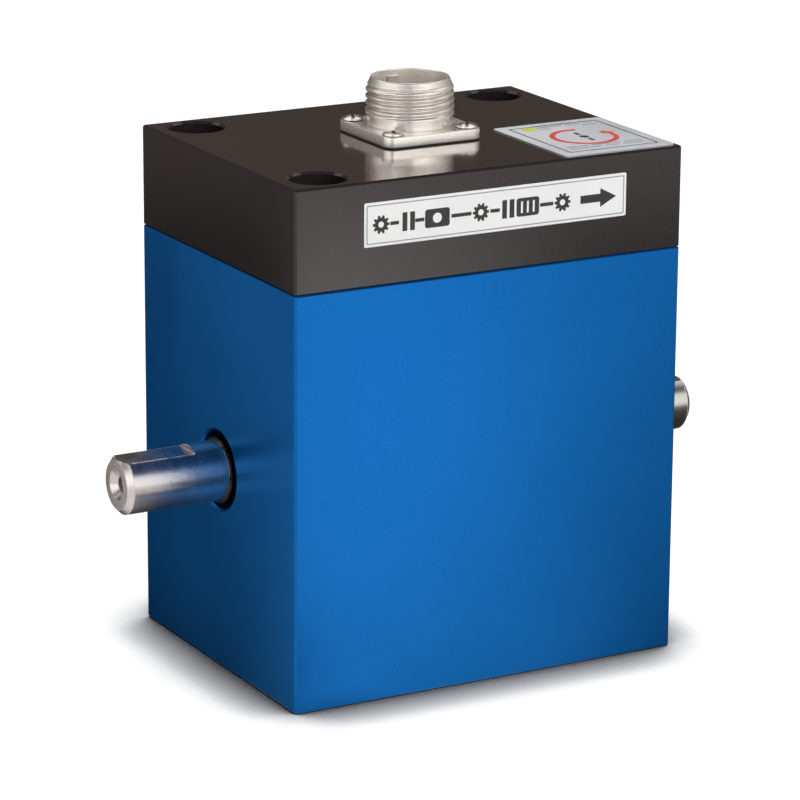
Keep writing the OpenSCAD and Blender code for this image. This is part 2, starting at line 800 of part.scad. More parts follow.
// Skin on the shaft from the measuring section to the rotor
module shaft_skin(t) {
    start = gauge_x - gauge_l / 2;
    neck = gauge_x + gauge_l / 2;
    taper = journal_r - gauge_r;
    stop = coil_x - rotor_w / 2;
    on_axis() rotate_extrude() polygon([[gauge_r, start], [gauge_r, neck],
        [journal_r, neck + taper], [journal_r, stop], [journal_r + t, stop],
        [journal_r + t, neck + taper], [gauge_r + t, neck], [gauge_r + t, start]]);
}

// Patch cut from that skin, at one angle round the shaft
module skin_patch(angle, from, to, w, t) {
    intersection() {
        shaft_skin(t);
        translate([0, 0, axis_h]) rotate([angle, 0, 0])
            translate([from, -w / 2, 0]) cube([to - from, w, 2 * journal_r]);
    }
}

module strain_gauges() {
    color("#d9a441") for (a = [45 : 90 : 315])
        skin_patch(a, gauge_x - pad_l / 2, gauge_x + pad_l / 2, pad_w, pad_t);
}

module gauge_leads() {
    color("#c05030") for (a = [45 : 90 : 315])
        skin_patch(a, gauge_x + pad_l / 2, coil_x, lead_w, lead_t);
}

module rotor_bobbin() {
    color("#2a2c30") difference() {
        ring(coil_x, rotor_w, journal_r, rotor_r);
        ring(coil_x, rotor_w - 2 * bobbin_t, journal_r + bobbin_t, rotor_r + past);
    }
}

module rotor_winding() {
    color("#b5651d")
        ring(coil_x, rotor_w - 2 * bobbin_t, journal_r + bobbin_t, rotor_r - winding_low);
}

module stator_bobbin() {
    color("#2a2c30") difference() {
        ring(coil_x, stator_w, stator_bore_r, stator_r);
        ring(coil_x, stator_w - 2 * bobbin_t, stator_bore_r + bobbin_t, stator_r + past);
    }
}

module stator_winding() {
    color("#b5651d") ring(coil_x, stator_w - 2 * bobbin_t, stator_bore_r + bobbin_t,
                          stator_r - winding_low);
}

module stator_strap() {
    foot_d = strap_reach - stator_r;
    color("#b8bcc0") difference() {
        union() {
            intersection() {
                ring(coil_x, stator_w, stator_r, stator_r + strap_t);
                translate([coil_x - stator_w, -stator_d, axis_h])
                    cube([2 * stator_w, 2 * stator_d, stator_d]);
            }
            for (s = [-1, 1])
                translate([coil_x - stator_w / 2, (s * (stator_r + strap_reach) - foot_d) / 2, axis_h])
                cube([stator_w, foot_d, strap_t]);
        }
        bar(coil_x - stator_w, coil_x + stator_w, stator_r);
        for (s = [-1, 1]) translate([coil_x, s * strap_screw_y, axis_h - past])
            cylinder(h = strap_t + 2 * past, d = through * strap_screw_d);
    }
}

module strap_screws() {
    color("#c8ccd0") for (s = [-1, 1])
        translate([coil_x, s * strap_screw_y, axis_h + strap_t])
        pan_screw(strap_screw_d, strap_head_d, strap_head_h, strap_t, strap_bite);
}

module circuit_board() {
    color("#1f6b3a") translate([0, 0, board_under]) linear_extrude(board_t) difference() {
        round_rect(board_l, board_d, board_r);
        for (x = [-1, 1], y = [-1, 1])
            translate([x * board_x, y * board_y]) circle(d = through * board_screw_d);
    }
}

module board_standoffs() {
    color("#c9b26a") at_corners(board_x, board_y) {
        translate([0, 0, board_top]) difference() {
            cylinder(h = standoff_l, d = standoff_af / cos(30), $fn = 6);
            translate([0, 0, -past]) cylinder(h = stud_l + past, d = core * board_screw_d);
        }
        translate([0, 0, roof_z]) cylinder(h = stud_l, d = core * board_screw_d);
    }
}

module board_screws() {
    color("#c8ccd0") at_corners(board_x, board_y)
        translate([0, 0, board_under]) rotate([180, 0, 0])
        pan_screw(board_screw_d, board_head_d, board_head_h, board_t, stud_l);
}

module board_chips() {
    converter_y = board_d / 2 - converter_inset - converter_w / 2;
    color("#26282c") for (s = [-1, 1]) {
        translate([s * chip_x - chip_w / 2, -chip_w / 2, board_top])
            cube([chip_w, chip_w, chip_t]);
        translate([-converter_l / 2, s * converter_y - converter_w / 2, board_top])
            cube([converter_l, converter_w, converter_t]);
        translate([s * chip_x, capacitor_y, board_top])
            cylinder(h = capacitor_h, d = capacitor_d);
    }
}

module stator_leads() {
    from_x = coil_x + stator_w / 2;
    bend_x = from_x + 2 * wire_d;
    lead_z = axis_h + stator_bore_r + bobbin_t + stator_wire_rise;
    color("#c8a020") for (s = [-1, 1]) translate([0, s * stator_wire_gap / 2, 0]) {
        translate([from_x, 0, lead_z]) rotate([0, 90, 0])
            cylinder(h = bend_x - from_x, d = wire_d);
        translate([bend_x, 0, lead_z]) sphere(d = wire_d);
        translate([bend_x, 0, lead_z]) cylinder(h = board_under - lead_z, d = wire_d);
    }
}

housing();
cover();
cover_seal();
cover_screws();
front_label();
top_label();
connector_shell();
connector_gasket();
connector_insert();
connector_pins();
connector_screws();
connector_leads();
bearing_carrier();
carrier_screws();
outer_race(-1);  // left_outer_race
outer_race(1);  // right_outer_race
inner_race(-1);  // left_inner_race
inner_race(1);  // right_inner_race
balls(-1);  // left_balls
balls(1);  // right_balls
cage(-1);  // left_cage
cage(1);  // right_cage
bearing_clips();
shaft_clips();
torque_shaft();
strain_gauges();
gauge_leads();
rotor_bobbin();
rotor_winding();
stator_bobbin();
stator_winding();
stator_strap();
strap_screws();
circuit_board();
board_standoffs();
board_screws();
board_chips();
stator_leads();
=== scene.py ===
import json
import math

import bmesh
import bpy
from mathutils import Matrix, Vector

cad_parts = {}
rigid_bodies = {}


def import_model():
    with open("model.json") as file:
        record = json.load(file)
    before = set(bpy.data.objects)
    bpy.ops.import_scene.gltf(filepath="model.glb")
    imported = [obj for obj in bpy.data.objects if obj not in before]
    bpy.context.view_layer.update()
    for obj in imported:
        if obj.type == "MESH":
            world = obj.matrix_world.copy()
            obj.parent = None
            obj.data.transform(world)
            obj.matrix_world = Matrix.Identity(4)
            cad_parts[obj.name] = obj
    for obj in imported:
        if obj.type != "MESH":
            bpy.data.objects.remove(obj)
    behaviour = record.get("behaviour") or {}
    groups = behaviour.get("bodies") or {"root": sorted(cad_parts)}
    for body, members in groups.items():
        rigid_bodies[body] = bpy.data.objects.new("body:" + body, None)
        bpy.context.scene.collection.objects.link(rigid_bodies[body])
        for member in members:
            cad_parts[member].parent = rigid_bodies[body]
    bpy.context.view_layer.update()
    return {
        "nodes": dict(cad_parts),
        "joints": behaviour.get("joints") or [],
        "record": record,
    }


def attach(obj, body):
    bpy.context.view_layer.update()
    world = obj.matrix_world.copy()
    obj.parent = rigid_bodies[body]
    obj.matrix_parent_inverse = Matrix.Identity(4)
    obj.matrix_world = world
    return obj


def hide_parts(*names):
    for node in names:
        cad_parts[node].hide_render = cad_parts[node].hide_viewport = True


for startUp in list(bpy.data.objects):  # the default cube, lamp and camera, where Blender made them
    bpy.data.objects.remove(startUp)
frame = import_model()
mm = 0.001
print("frame loaded:", len(frame["nodes"]), "nodes")


# Helpers for node trees

# Adds a node: a value that is a socket is linked, any other value is set on the input
def addNode(tree, kind, inputs=(), **settings):
    made = tree.nodes.new(kind)
    for name, value in settings.items():
        setattr(made, name, value)
    for key, value in dict(inputs).items():
        if isinstance(value, bpy.types.NodeSocket):
            tree.links.new(value, made.inputs[key])
        else:
            made.inputs[key].default_value = value
    return made


def calc(tree, operation, *values):
    return addNode(tree, "ShaderNodeMath", enumerate(values), operation=operation).outputs[0]


def times(tree, first, second):
    return calc(tree, "MULTIPLY", first, second)


# Vector maths: a number where the operation gives one, otherwise a vector
def vectorCalc(tree, operation, *values):
    made = addNode(tree, "ShaderNodeVectorMath", enumerate(values), operation=operation)
    single = operation in ("DOT_PRODUCT", "LENGTH", "DISTANCE")
    return made.outputs["Value" if single else "Vector"]


def scaled(tree, vector, factor):
    return addNode(tree, "ShaderNodeVectorMath", {0: vector, "Scale": factor},
                   operation="SCALE").outputs["Vector"]


def axesOf(tree, vector):
    return addNode(tree, "ShaderNodeSeparateXYZ", {"Vector": vector}).outputs


def fromAxes(tree, **axes):
    return addNode(tree, "ShaderNodeCombineXYZ", axes).outputs[0]


def objectPlace(tree):
    return addNode(tree, "ShaderNodeTexCoord").outputs["Object"]


# Spreads a value from one range over another, and holds it at the ends
def spread(tree, value, low, high, toLow=0.0, toHigh=1.0):
    return addNode(tree, "ShaderNodeMapRange",
                   {"Value": value, "From Min": low, "From Max": high,
                    "To Min": toLow, "To Max": toHigh}).outputs["Result"]


# A socket as it is; red, green and blue with full opacity added
def opaque(colour):
    return colour if isinstance(colour, bpy.types.NodeSocket) else (*colour, 1.0)


def mixColours(tree, factor, first, second):
    return addNode(tree, "ShaderNodeMix", {0: factor, 6: opaque(first), 7: opaque(second)},
                   data_type="RGBA").outputs[2]


# Goes from the first colour to the second as a value crosses a range
def blend(tree, value, span, first, second):
    return mixColours(tree, spread(tree, value, *span), first, second)


def emptyMaterial(name):
    material = bpy.data.materials.new(name)
    material.use_nodes = True
    material.node_tree.nodes.clear()
    return material, material.node_tree


# Outputs of a shader group set in a tree
def useGroup(tree, group, inputs):
    return addNode(tree, "ShaderNodeGroup", inputs, node_tree=group).outputs


# Starts a node group; inputs are (name, socket type, default), outputs are (name, socket type)
def startGroup(name, kind, inputs, outputs):
    group = bpy.data.node_groups.new(name, kind)
    for title, socketType, value in inputs:
        socket = group.interface.new_socket(name=title, in_out="INPUT", socket_type=socketType)
        if value is not None:
            socket.default_value = value
    for title, socketType in outputs:
        group.interface.new_socket(name=title, in_out="OUTPUT", socket_type=socketType)
    given = group.nodes.new("NodeGroupInput").outputs
    result = group.nodes.new("NodeGroupOutput").inputs
    return group, given, result


numberSocket, vectorSocket = "NodeSocketFloat", "NodeSocketVector"


def numbers(*names):
    return [(name, numberSocket, 0.0) for name in names]


# Starts a shader group that takes a place and these inputs; one without a default is a vector
def startShader(name, inputs, *outputs):
    sockets = [(title, vectorSocket if value is None else numberSocket, value)
               for title, value in {"Vector": None, **inputs}.items()]
    return startGroup(name, "ShaderNodeTree", sockets, [(title, numberSocket) for title in outputs])


def noise(tree, vector, scale, **inputs):
    return addNode(tree, "ShaderNodeTexNoise",
                   {"Vector": vector, "Scale": scale, **inputs}).outputs["Fac"]


# Shader groups that several finishes share
pattern = dict(speckScale=0.45, speckRange=(0.58, 0.72), toneRange=(0.3, 0.7), flatCosine=0.999,
               patchScale=900.0, patchRange=(0.35, 0.65))


# Fine grain of a blasted, moulded or anodised skin, with sparse speckles
def grainGroup():
    group, given, result = startShader("fineGrain", {"Scale": 4000.0}, "Height", "Speckle")
    grain = noise(group, given["Vector"], given["Scale"], Detail=2.0, Roughness=0.65)
    speckScale = times(group, given["Scale"], pattern["speckScale"])
    specks = noise(group, given["Vector"], speckScale, Detail=1.0)
    group.links.new(grain, result["Height"])
    group.links.new(spread(group, specks, *pattern["speckRange"]), result["Speckle"])
    return group


# Slow change of tone over a surface, from 0 to 1
def driftGroup():
    group, given, result = startShader("toneDrift", {"Scale": 30.0}, "Tone")
    cloud = noise(group, given["Vector"], given["Scale"], Detail=3.0, Distortion=0.4)
    group.links.new(spread(group, cloud, *pattern["toneRange"]), result["Tone"])
    return group


# Marks that a lathe or grinder leaves: rings round an axis, on the side and on the end face
def ringsGroup():
    group, given, result = startShader(
        "turnedRings", {"Centre": None, "Axis": None, "Scale": 4000.0}, "Height")
    place = vectorCalc(group, "SUBTRACT", given["Vector"], given["Centre"])
    along = vectorCalc(group, "DOT_PRODUCT", place, given["Axis"])
    foot = scaled(group, given["Axis"], along)
    outward = vectorCalc(group, "SUBTRACT", place, foot)
    reach = vectorCalc(group, "LENGTH", outward)
    rings = addNode(group, "ShaderNodeTexNoise",
                    {"W": calc(group, "ADD", along, reach), "Scale": given["Scale"],
                     "Detail": 3.0, "Roughness": 0.7}, noise_dimensions="1D").outputs["Fac"]
    group.links.new(rings, result["Height"])
    return group


# Mask of edges that handling has rubbed, broken up by noise
def wearGroup():
    group, given, result = startShader(
        "edgeWear", {"Radius": 0.0004, "Amount": 0.5, "Full Cosine": 0.9}, "Mask")
    rounded = addNode(group, "ShaderNodeBevel", {"Radius": given["Radius"]}, samples=4)
    flat = addNode(group, "ShaderNodeNewGeometry").outputs["Normal"]
    cosine = vectorCalc(group, "DOT_PRODUCT", rounded.outputs["Normal"], flat)
    turned = spread(group, cosine, pattern["flatCosine"], given["Full Cosine"])
    patches = noise(group, given["Vector"], pattern["patchScale"], Detail=4.0)
    broken = times(group, turned, spread(group, patches, *pattern["patchRange"]))
    group.links.new(times(group, broken, given["Amount"]), result["Mask"])
    return group


grain, drift, rings, wear = grainGroup(), driftGroup(), ringsGroup(), wearGroup()
shaftAxis = frame["joints"][0]["pos_m"]
print("shader groups built")


# Finishes. Colours are linear red, green and blue; lengths are metres, scales are per metre
labelFilm = dict(driftScale=60.0, grainScale=2600.0, grainDepth=0.000006)
wireSkin = dict(driftScale=300.0, roughness=(0.36, 0.46), grainScale=4000.0,
                grainDepth=0.000008)
fineMetal = dict(driftScale=400.0, metallic=1.0, grainScale=9000.0, grainDepth=0.000004)
printInk = dict(driftScale=200.0, roughness=(0.42, 0.52), grainScale=5000.0,
                grainDepth=0.000004)
finishes = {
    "blue_anodised": dict(
        colour=((0.005, 0.145, 0.50), (0.008, 0.172, 0.56)), driftScale=18.0,
        metallic=0.82, roughness=(0.30, 0.38), grainScale=5200.0, grainDepth=0.000008,
        speckle=(0.02, 0.22, 0.64), speckleShare=0.30, edgeTint=(0.45, 0.75, 1.0)),
    "black_anodised": dict(
        colour=((0.016, 0.0125, 0.0128), (0.022, 0.0175, 0.018)), driftScale=22.0,
        roughness=(0.06, 0.12), grainScale=5200.0, grainDepth=0.000003,
        speckle=(0.05, 0.044, 0.044), speckleShare=0.25,
        mirror=(0.56, 0.76, (0.60, 0.59, 0.58))),
    "black_rubber": dict(
        colour=((0.010, 0.010, 0.010), (0.018, 0.018, 0.018)), driftScale=80.0,
        roughness=(0.62, 0.80), grainScale=3500.0, grainDepth=0.00002),
    "black_steel": dict(
        colour=((0.012, 0.012, 0.013), (0.022, 0.021, 0.020)), driftScale=200.0,
        metallic=0.6, roughness=(0.28, 0.42), grainScale=6000.0, grainDepth=0.000008,
        wear=(0.16, 0.15, 0.14)),
    "label_white": dict(
        labelFilm, colour=((0.80, 0.80, 0.79), (0.88, 0.88, 0.87)), roughness=(0.38, 0.46)),
    "label_silver": dict(
        labelFilm, colour=((0.51, 0.525, 0.545), (0.58, 0.595, 0.615)), roughness=(0.34, 0.44)),
    "nickel": dict(
        colour=((0.88, 0.83, 0.775), (0.95, 0.91, 0.865)), driftScale=260.0,
        metallic=0.74, roughness=(0.16, 0.24), grainScale=5200.0, grainDepth=0.000003,
        rings=((0.0, 0.0, 0.0), (0.0, 0.0, 1.0), 5000.0, 0.000006), wear=(0.94, 0.90, 0.84),
        # painted shade in the grooves of the thread
        paintedRecessShade=(0.0008, 0.25, 0.65, (0.26, 0.22, 0.19))),
    "black_plastic": dict(
        colour=((0.012, 0.012, 0.013), (0.020, 0.020, 0.021)), driftScale=120.0,
        roughness=(0.36, 0.50), grainScale=5000.0, grainDepth=0.000012),
    "gold_contact": dict(
        fineMetal, colour=((0.80, 0.50, 0.13), (0.88, 0.60, 0.20)), roughness=(0.16, 0.28)),
    "screw_steel": dict(
        fineMetal, colour=((0.78, 0.755, 0.72), (0.88, 0.86, 0.83)), roughness=(0.14, 0.24),
        # painted shade in the sockets and recesses
        wear=(0.9, 0.88, 0.84), paintedRecessShade=(0.0007, 0.35, 0.80, (0.02, 0.017, 0.015))),
    "red_wire": dict(wireSkin, colour=((0.36, 0.020, 0.016), (0.46, 0.030, 0.022))),
    "yellow_wire": dict(wireSkin, colour=((0.55, 0.36, 0.02), (0.66, 0.46, 0.03))),
    "bare_aluminium": dict(
        colour=((0.56, 0.57, 0.58), (0.66, 0.67, 0.68)), driftScale=90.0,
        metallic=1.0, roughness=(0.30, 0.42), grainScale=4200.0, grainDepth=0.000014,
        rings=(shaftAxis, (1.0, 0.0, 0.0), 2600.0, 0.00001)),
    "bearing_steel": dict(
        colour=((0.62, 0.63, 0.64), (0.72, 0.73, 0.74)), driftScale=200.0,
        metallic=1.0, roughness=(0.10, 0.20), grainScale=9000.0, grainDepth=0.000003,
        rings=(shaftAxis, (1.0, 0.0, 0.0), 7000.0, 0.000004)),
    "cage_brass": dict(
        colour=((0.50, 0.33, 0.12), (0.62, 0.43, 0.17)), driftScale=200.0,
        metallic=1.0, roughness=(0.26, 0.38), grainScale=6000.0, grainDepth=0.000006),
    "spring_steel": dict(
        colour=((0.10, 0.10, 0.105), (0.16, 0.16, 0.165)), driftScale=200.0,
        metallic=1.0, roughness=(0.32, 0.46), grainScale=6000.0, grainDepth=0.000008),
    "shaft_steel": dict(
        colour=((0.60, 0.575, 0.575), (0.72, 0.695, 0.695)), driftScale=120.0,
        metallic=1.0, roughness=(0.17, 0.27), grainScale=6000.0, grainDepth=0.000004,
        rings=(shaftAxis, (1.0, 0.0, 0.0), 9000.0, 0.000007), wear=(0.85, 0.84, 0.83),
        # painted shade on the part of the shaft that lies in the housing
        mattEdges=(0.0004, 2.0, 0.985), paintedHoleShade=(0.0393, (0.030, 0.027, 0.026))),
    "gauge_film": dict(
        colour=((0.50, 0.26, 0.04), (0.62, 0.34, 0.06)), driftScale=500.0,
        roughness=(0.30, 0.40), grainScale=6000.0, grainDepth=0.000004),
    "copper": dict(
        colour=((0.46, 0.16, 0.05), (0.62, 0.24, 0.08)), driftScale=500.0,
        metallic=1.0, roughness=(0.28, 0.40), grainScale=6000.0, grainDepth=0.000006,
        rings=(shaftAxis, (1.0, 0.0, 0.0), 3400.0, 0.00004)),
    "green_board": dict(
        colour=((0.010, 0.10, 0.030), (0.016, 0.14, 0.042)), driftScale=160.0,
        roughness=(0.26, 0.36), grainScale=3000.0, grainDepth=0.00001),
    "print_black": dict(printInk, colour=((0.020, 0.020, 0.022), (0.032, 0.031, 0.032))),
    "print_grey": dict(printInk, colour=((0.26, 0.28, 0.33), (0.32, 0.34, 0.39))),
    "print_red": dict(printInk, colour=((0.56, 0.055, 0.035), (0.66, 0.085, 0.055))),
    "print_green": dict(printInk, colour=((0.50, 0.55, 0.06), (0.58, 0.63, 0.10))),
}


def addBump(tree, height, distance, **below):
    return addNode(tree, "ShaderNodeBump", {"Height": height, "Strength": 1.0,
                                            "Distance": distance, **below}).outputs["Normal"]


# What the finishes share: worn edges, ranges of grain and of the way a face looks up, samples of
# the painted shade in recesses
finishCommon = dict(wearRadius=0.0003, wearAmount=0.4, skinRange=(0.2, 0.8), ringsShare=0.08,
                    upwardRange=(0.8, 0.95), recessShadeSamples=6)


# One Principled shader fed by tone drift, grain, turned rings and worn edges
def buildFinish(name, look):
    material, tree = emptyMaterial(name + "_finish")
    common = finishCommon
    place = objectPlace(tree)
    tone = useGroup(tree, drift, {"Vector": place, "Scale": look["driftScale"]})["Tone"]
    skin = useGroup(tree, grain, {"Vector": place, "Scale": look["grainScale"]})
    colour = mixColours(tree, tone, *look["colour"])
    if "speckle" in look:
        share = times(tree, skin["Speckle"], look["speckleShare"])
        colour = mixColours(tree, share, colour, look["speckle"])
    blended = calc(tree, "MULTIPLY_ADD", skin["Height"], 0.5, times(tree, tone, 0.5))
    roughness = spread(tree, blended, *common["skinRange"], *look["roughness"])
    bump = addBump(tree, skin["Height"], look["grainDepth"])
    if "rings" in look:
        centre, axis, scale, depth = look["rings"]
        marks = useGroup(tree, rings, {"Vector": place, "Centre": centre, "Axis": axis,
                                       "Scale": scale})["Height"]
        bump = addBump(tree, marks, depth, Normal=bump)
        roughness = calc(tree, "MULTIPLY_ADD", marks, common["ringsShare"], roughness)
    if "wear" in look:
        rubbed = useGroup(tree, wear, {"Vector": place, "Radius": common["wearRadius"],
                                       "Amount": common["wearAmount"]})["Mask"]
        colour = mixColours(tree, rubbed, colour, look["wear"])
    if "paintedRecessShade" in look:  # painted shade: grooves and recesses are darkened as far as they are hidden
        reach, hidden, bare, recessShadeColour = look["paintedRecessShade"]
        openness = addNode(tree, "ShaderNodeAmbientOcclusion", {"Distance": reach},
                           samples=common["recessShadeSamples"]).outputs["AO"]
        colour = blend(tree, openness, (hidden, bare), recessShadeColour, colour)
    metallic = look.get("metallic", 0.0)
    if "mattEdges" in look:  # edges that a stone has broken scatter the light
        reach, amount, cosine = look["mattEdges"]
        broken = useGroup(tree, wear, {"Vector": place, "Radius": reach, "Amount": amount,
                                       "Full Cosine": cosine})["Mask"]
        metallic = spread(tree, broken, 0.0, 1.0, metallic, 0.0)
    if "paintedHoleShade" in look:  # painted shade: the middle of the shaft, between its two ends where it lies in the housing, is coloured dark
        reach, holeShadeColour = look["paintedHoleShade"]
        fromMiddle = calc(tree, "ABSOLUTE", axesOf(tree, place)["X"])
        inside = calc(tree, "LESS_THAN", fromMiddle, reach)
        colour = mixColours(tree, inside, colour, holeShadeColour)
    if "mirror" in look:  # a polished top that mirrors more the flatter it is looked at
        start, end, tint = look["mirror"]
        grazing = addNode(tree, "ShaderNodeLayerWeight", {"Blend": 0.5}).outputs["Facing"]
        normal = addNode(tree, "ShaderNodeNewGeometry").outputs["Normal"]
        top = spread(tree, axesOf(tree, normal)["Z"], *common["upwardRange"])
        metallic = times(tree, top, spread(tree, grazing, start, (start + end) / 2, metallic, 1.0))
        steep = calc(tree, "POWER", spread(tree, grazing, start, end), 2.0)
        colour = mixColours(tree, times(tree, top, steep), colour, tint)
    shader = addNode(tree, "ShaderNodeBsdfPrincipled",
                     {"Base Color": colour, "Roughness": roughness, "Normal": bump,
                      "Metallic": metallic,
                      "Specular Tint": opaque(look.get("edgeTint", (1.0, 1.0, 1.0)))})
    addNode(tree, "ShaderNodeOutputMaterial", {"Surface": shader.outputs["BSDF"]})
    return material


materials = {name: buildFinish(name, look) for name, look in finishes.items()}
for subpart in frame["record"]["subparts"]:
    cadPiece = frame["nodes"][subpart["node"]]
    cadPiece.material_slots[0].material = materials[subpart["material_slot"]]
print("finishes built:", len(materials))


# Helpers for meshes

def addObject(name, data):
    made = bpy.data.objects.new(name, data)
    bpy.context.scene.collection.objects.link(made)
    return made


# Makes an object from points in millimetres; edges sharper than the angle stay crisp
def makePiece(name, points, faces, finish, sharpAngle=35.0):
    mesh = bpy.data.meshes.new(name)
    mesh.from_pydata([Vector(point) * mm for point in points], [], faces)
    mesh.validate()
    piece = addObject(name, mesh)
    dressMesh(piece, finish, sharpAngle)
    return piece


def dressMesh(piece, finish, sharpAngle=35.0):
    piece.data.materials.clear()
    piece.data.materials.append(materials[finish])
    piece.data.polygons.foreach_set("use_smooth", [True] * len(piece.data.polygons))
    piece.data.set_sharp_from_angle(angle=math.radians(sharpAngle))


def onCircle(radius, angle, x=0.0, y=0.0):
    return x + radius * math.cos(angle), y + radius * math.sin(angle)


# Closed body of rings round the Z axis, listed from the bottom of its outside; each ring is
# (radius, height), and both may be functions of the angle, height also of the radius
def loft(ringList, segments, hollow=False):
    points, faces = [], []
    for radius, height in ringList:
        for step in range(segments):
            angle = 2 * math.pi * step / segments
            reach = radius(angle) if callable(radius) else radius
            level = height(reach) if callable(height) else height
            points.append((*onCircle(reach, angle), level))
    count = len(ringList)
    for row in range(count if hollow else count - 1):
        below, above = row * segments, (row + 1) % count * segments
        for step in range(segments):
            after = (step + 1) % segments
            faces.append((below + step, below + after, above + after, above + step))
    if not hollow:
        faces.append(tuple(reversed(range(segments))))
        faces.append(tuple(range((count - 1) * segments, count * segments)))
    return points, faces


def evaluatedMesh(piece):
    evaluated = piece.evaluated_get(bpy.context.evaluated_depsgraph_get())
    return bpy.data.meshes.new_from_object(evaluated)


# Runs a Geometry Nodes tree on a piece and keeps the result as its plain mesh
def applyTree(piece, tree, values):
    modifier = piece.modifiers.new(tree.name, "NODES")
    modifier.node_group = tree
    for item in tree.interface.items_tree:
        if item.item_type == "SOCKET" and item.in_out == "INPUT" and item.name in values:
            modifier[item.identifier] = values[item.name]
    result = evaluatedMesh(piece)
    piece.modifiers.remove(modifier)
    piece.data = result
    result.name = piece.name
    return piece


def raised(height):
    return Matrix.Translation((0, 0, height * mm))


# The four places at plus and minus x and y
def fourPlaces(x, y, z=0.0):
    return [(sx * x, sy * y, z) for sx in (1, -1) for sy in (1, -1)]


# Closed outlines in millimetres, as lists of points
def circleOutline(radius, x=0.0, y=0.0, steps=48):
    return [onCircle(radius, 2 * math.pi * i / steps, x, y) for i in range(steps)]


def roundOutline(width, height, radius, x=0.0, y=0.0, steps=8):
    outline = []
    for corner, (sx, sy) in enumerate(((1, 1), (-1, 1), (-1, -1), (1, -1))):
        cx, cy = x + sx * (width / 2 - radius), y + sy * (height / 2 - radius)
        for i in range(steps + 1):
            outline.append(onCircle(radius, math.pi / 2 * (corner + i / steps), cx, cy))
    return outline


# Flat sheet cut to outlines, an inner one being a hole; it lies on Z = 0 and its edges are broken
def cutSheet(name, outlines, thickness, finish, edge=0.0, edgeSteps=2):
    curve = bpy.data.curves.new(name, "CURVE")
    curve.dimensions = "2D"
    curve.fill_mode = "BOTH"
    curve.extrude = (thickness / 2 - edge) * mm
    curve.bevel_depth = edge * mm
    curve.bevel_resolution = edgeSteps
    curve.offset = -edge * mm
    for outline in outlines:
        spline = curve.splines.new("POLY")
        spline.points.add(len(outline) - 1)
        for point, (x, y) in zip(spline.points, outline):
            point.co = (x * mm, y * mm, 0.0, 1.0)
        spline.use_cyclic_u = True
    shape = addObject(name + "Curve", curve)
    mesh = evaluatedMesh(shape)
    bpy.data.objects.remove(shape)
    mesh.transform(raised(thickness / 2))
    piece = addObject(name, mesh)
    mergeDoubles(piece)
    dressMesh(piece, finish)
    return piece


def mergeDoubles(piece):
    work = bmesh.new()
    work.from_mesh(piece.data)
    bmesh.ops.remove_doubles(work, verts=work.verts, dist=1e-7)
    bmesh.ops.recalc_face_normals(work, faces=work.faces)
    work.to_mesh(piece.data)
    work.free()


def joinPieces(name, *pieces):
    with bpy.context.temp_override(active_object=pieces[0], selected_editable_objects=list(pieces),
                                   selected_objects=list(pieces)):
        bpy.ops.object.join()
    pieces[0].name = name
    pieces[0].data.name = name
    return pieces[0]


# Geometry Nodes trees

# Starts a tree that takes in a piece's geometry and its finish
def startTree(name, inputs):
    return startGroup(name, "GeometryNodeTree",
                      [("Geometry", "NodeSocketGeometry", None),
                       ("Finish", "NodeSocketMaterial", None)] + inputs,
                      [("Geometry", "NodeSocketGeometry")])


def endTree(tree, geometry, finish, result):
    real = addNode(tree, "GeometryNodeRealizeInstances", {"Geometry": geometry}).outputs[0]
    painted = addNode(tree, "GeometryNodeSetMaterial", {"Geometry": real, "Material": finish})
    tree.links.new(painted.outputs[0], result["Geometry"])
    return tree


# Parts of a pitch: half a crest's width, distance from its middle to the root, length of run-out;
# then points to a turn of an inner thread's ridge, and round it
threadForm = dict(crest=0.12, root=0.43, runOut=0.8, steps=40, sides=6)


# Cuts a right-hand thread into the outside of a body of rings round the Z axis
def threadTree():
    tree, given, result = startTree(
        "cutThread", numbers("Radius", "Pitch", "Depth", "Start", "Inner Radius"))
    place = addNode(tree, "GeometryNodeInputPosition").outputs["Position"]
    axes = axesOf(tree, place)
    flat = fromAxes(tree, X=axes["X"], Y=axes["Y"])
    reach = vectorCalc(tree, "LENGTH", flat)
    angle = calc(tree, "ARCTAN2", axes["Y"], axes["X"])
    turns = calc(tree, "SUBTRACT", calc(tree, "DIVIDE", axes["Z"], given["Pitch"]),
                 calc(tree, "DIVIDE", angle, 2 * math.pi))
    wave = calc(tree, "PINGPONG", turns, 0.5)
    groove = spread(tree, wave, threadForm["crest"], threadForm["root"])
    climb = calc(tree, "DIVIDE", calc(tree, "SUBTRACT", axes["Z"], given["Start"]), given["Pitch"])
    runOut = spread(tree, climb, 0.0, threadForm["runOut"])
    cut = times(tree, times(tree, groove, runOut), given["Depth"])
    kept = calc(tree, "MINIMUM", reach, calc(tree, "SUBTRACT", given["Radius"], cut))
    ratio = calc(tree, "DIVIDE", kept, reach)
    target = vectorCalc(tree, "ADD", scaled(tree, flat, ratio), fromAxes(tree, Z=axes["Z"]))
    outside = times(tree, calc(tree, "GREATER_THAN", reach, given["Inner Radius"]),
                    calc(tree, "GREATER_THAN", axes["Z"], given["Start"]))
    cutBody = addNode(tree, "GeometryNodeSetPosition",
                      {"Geometry": given["Geometry"], "Selection": outside, "Position": target})
    return endTree(tree, cutBody.outputs[0], given["Finish"], result)


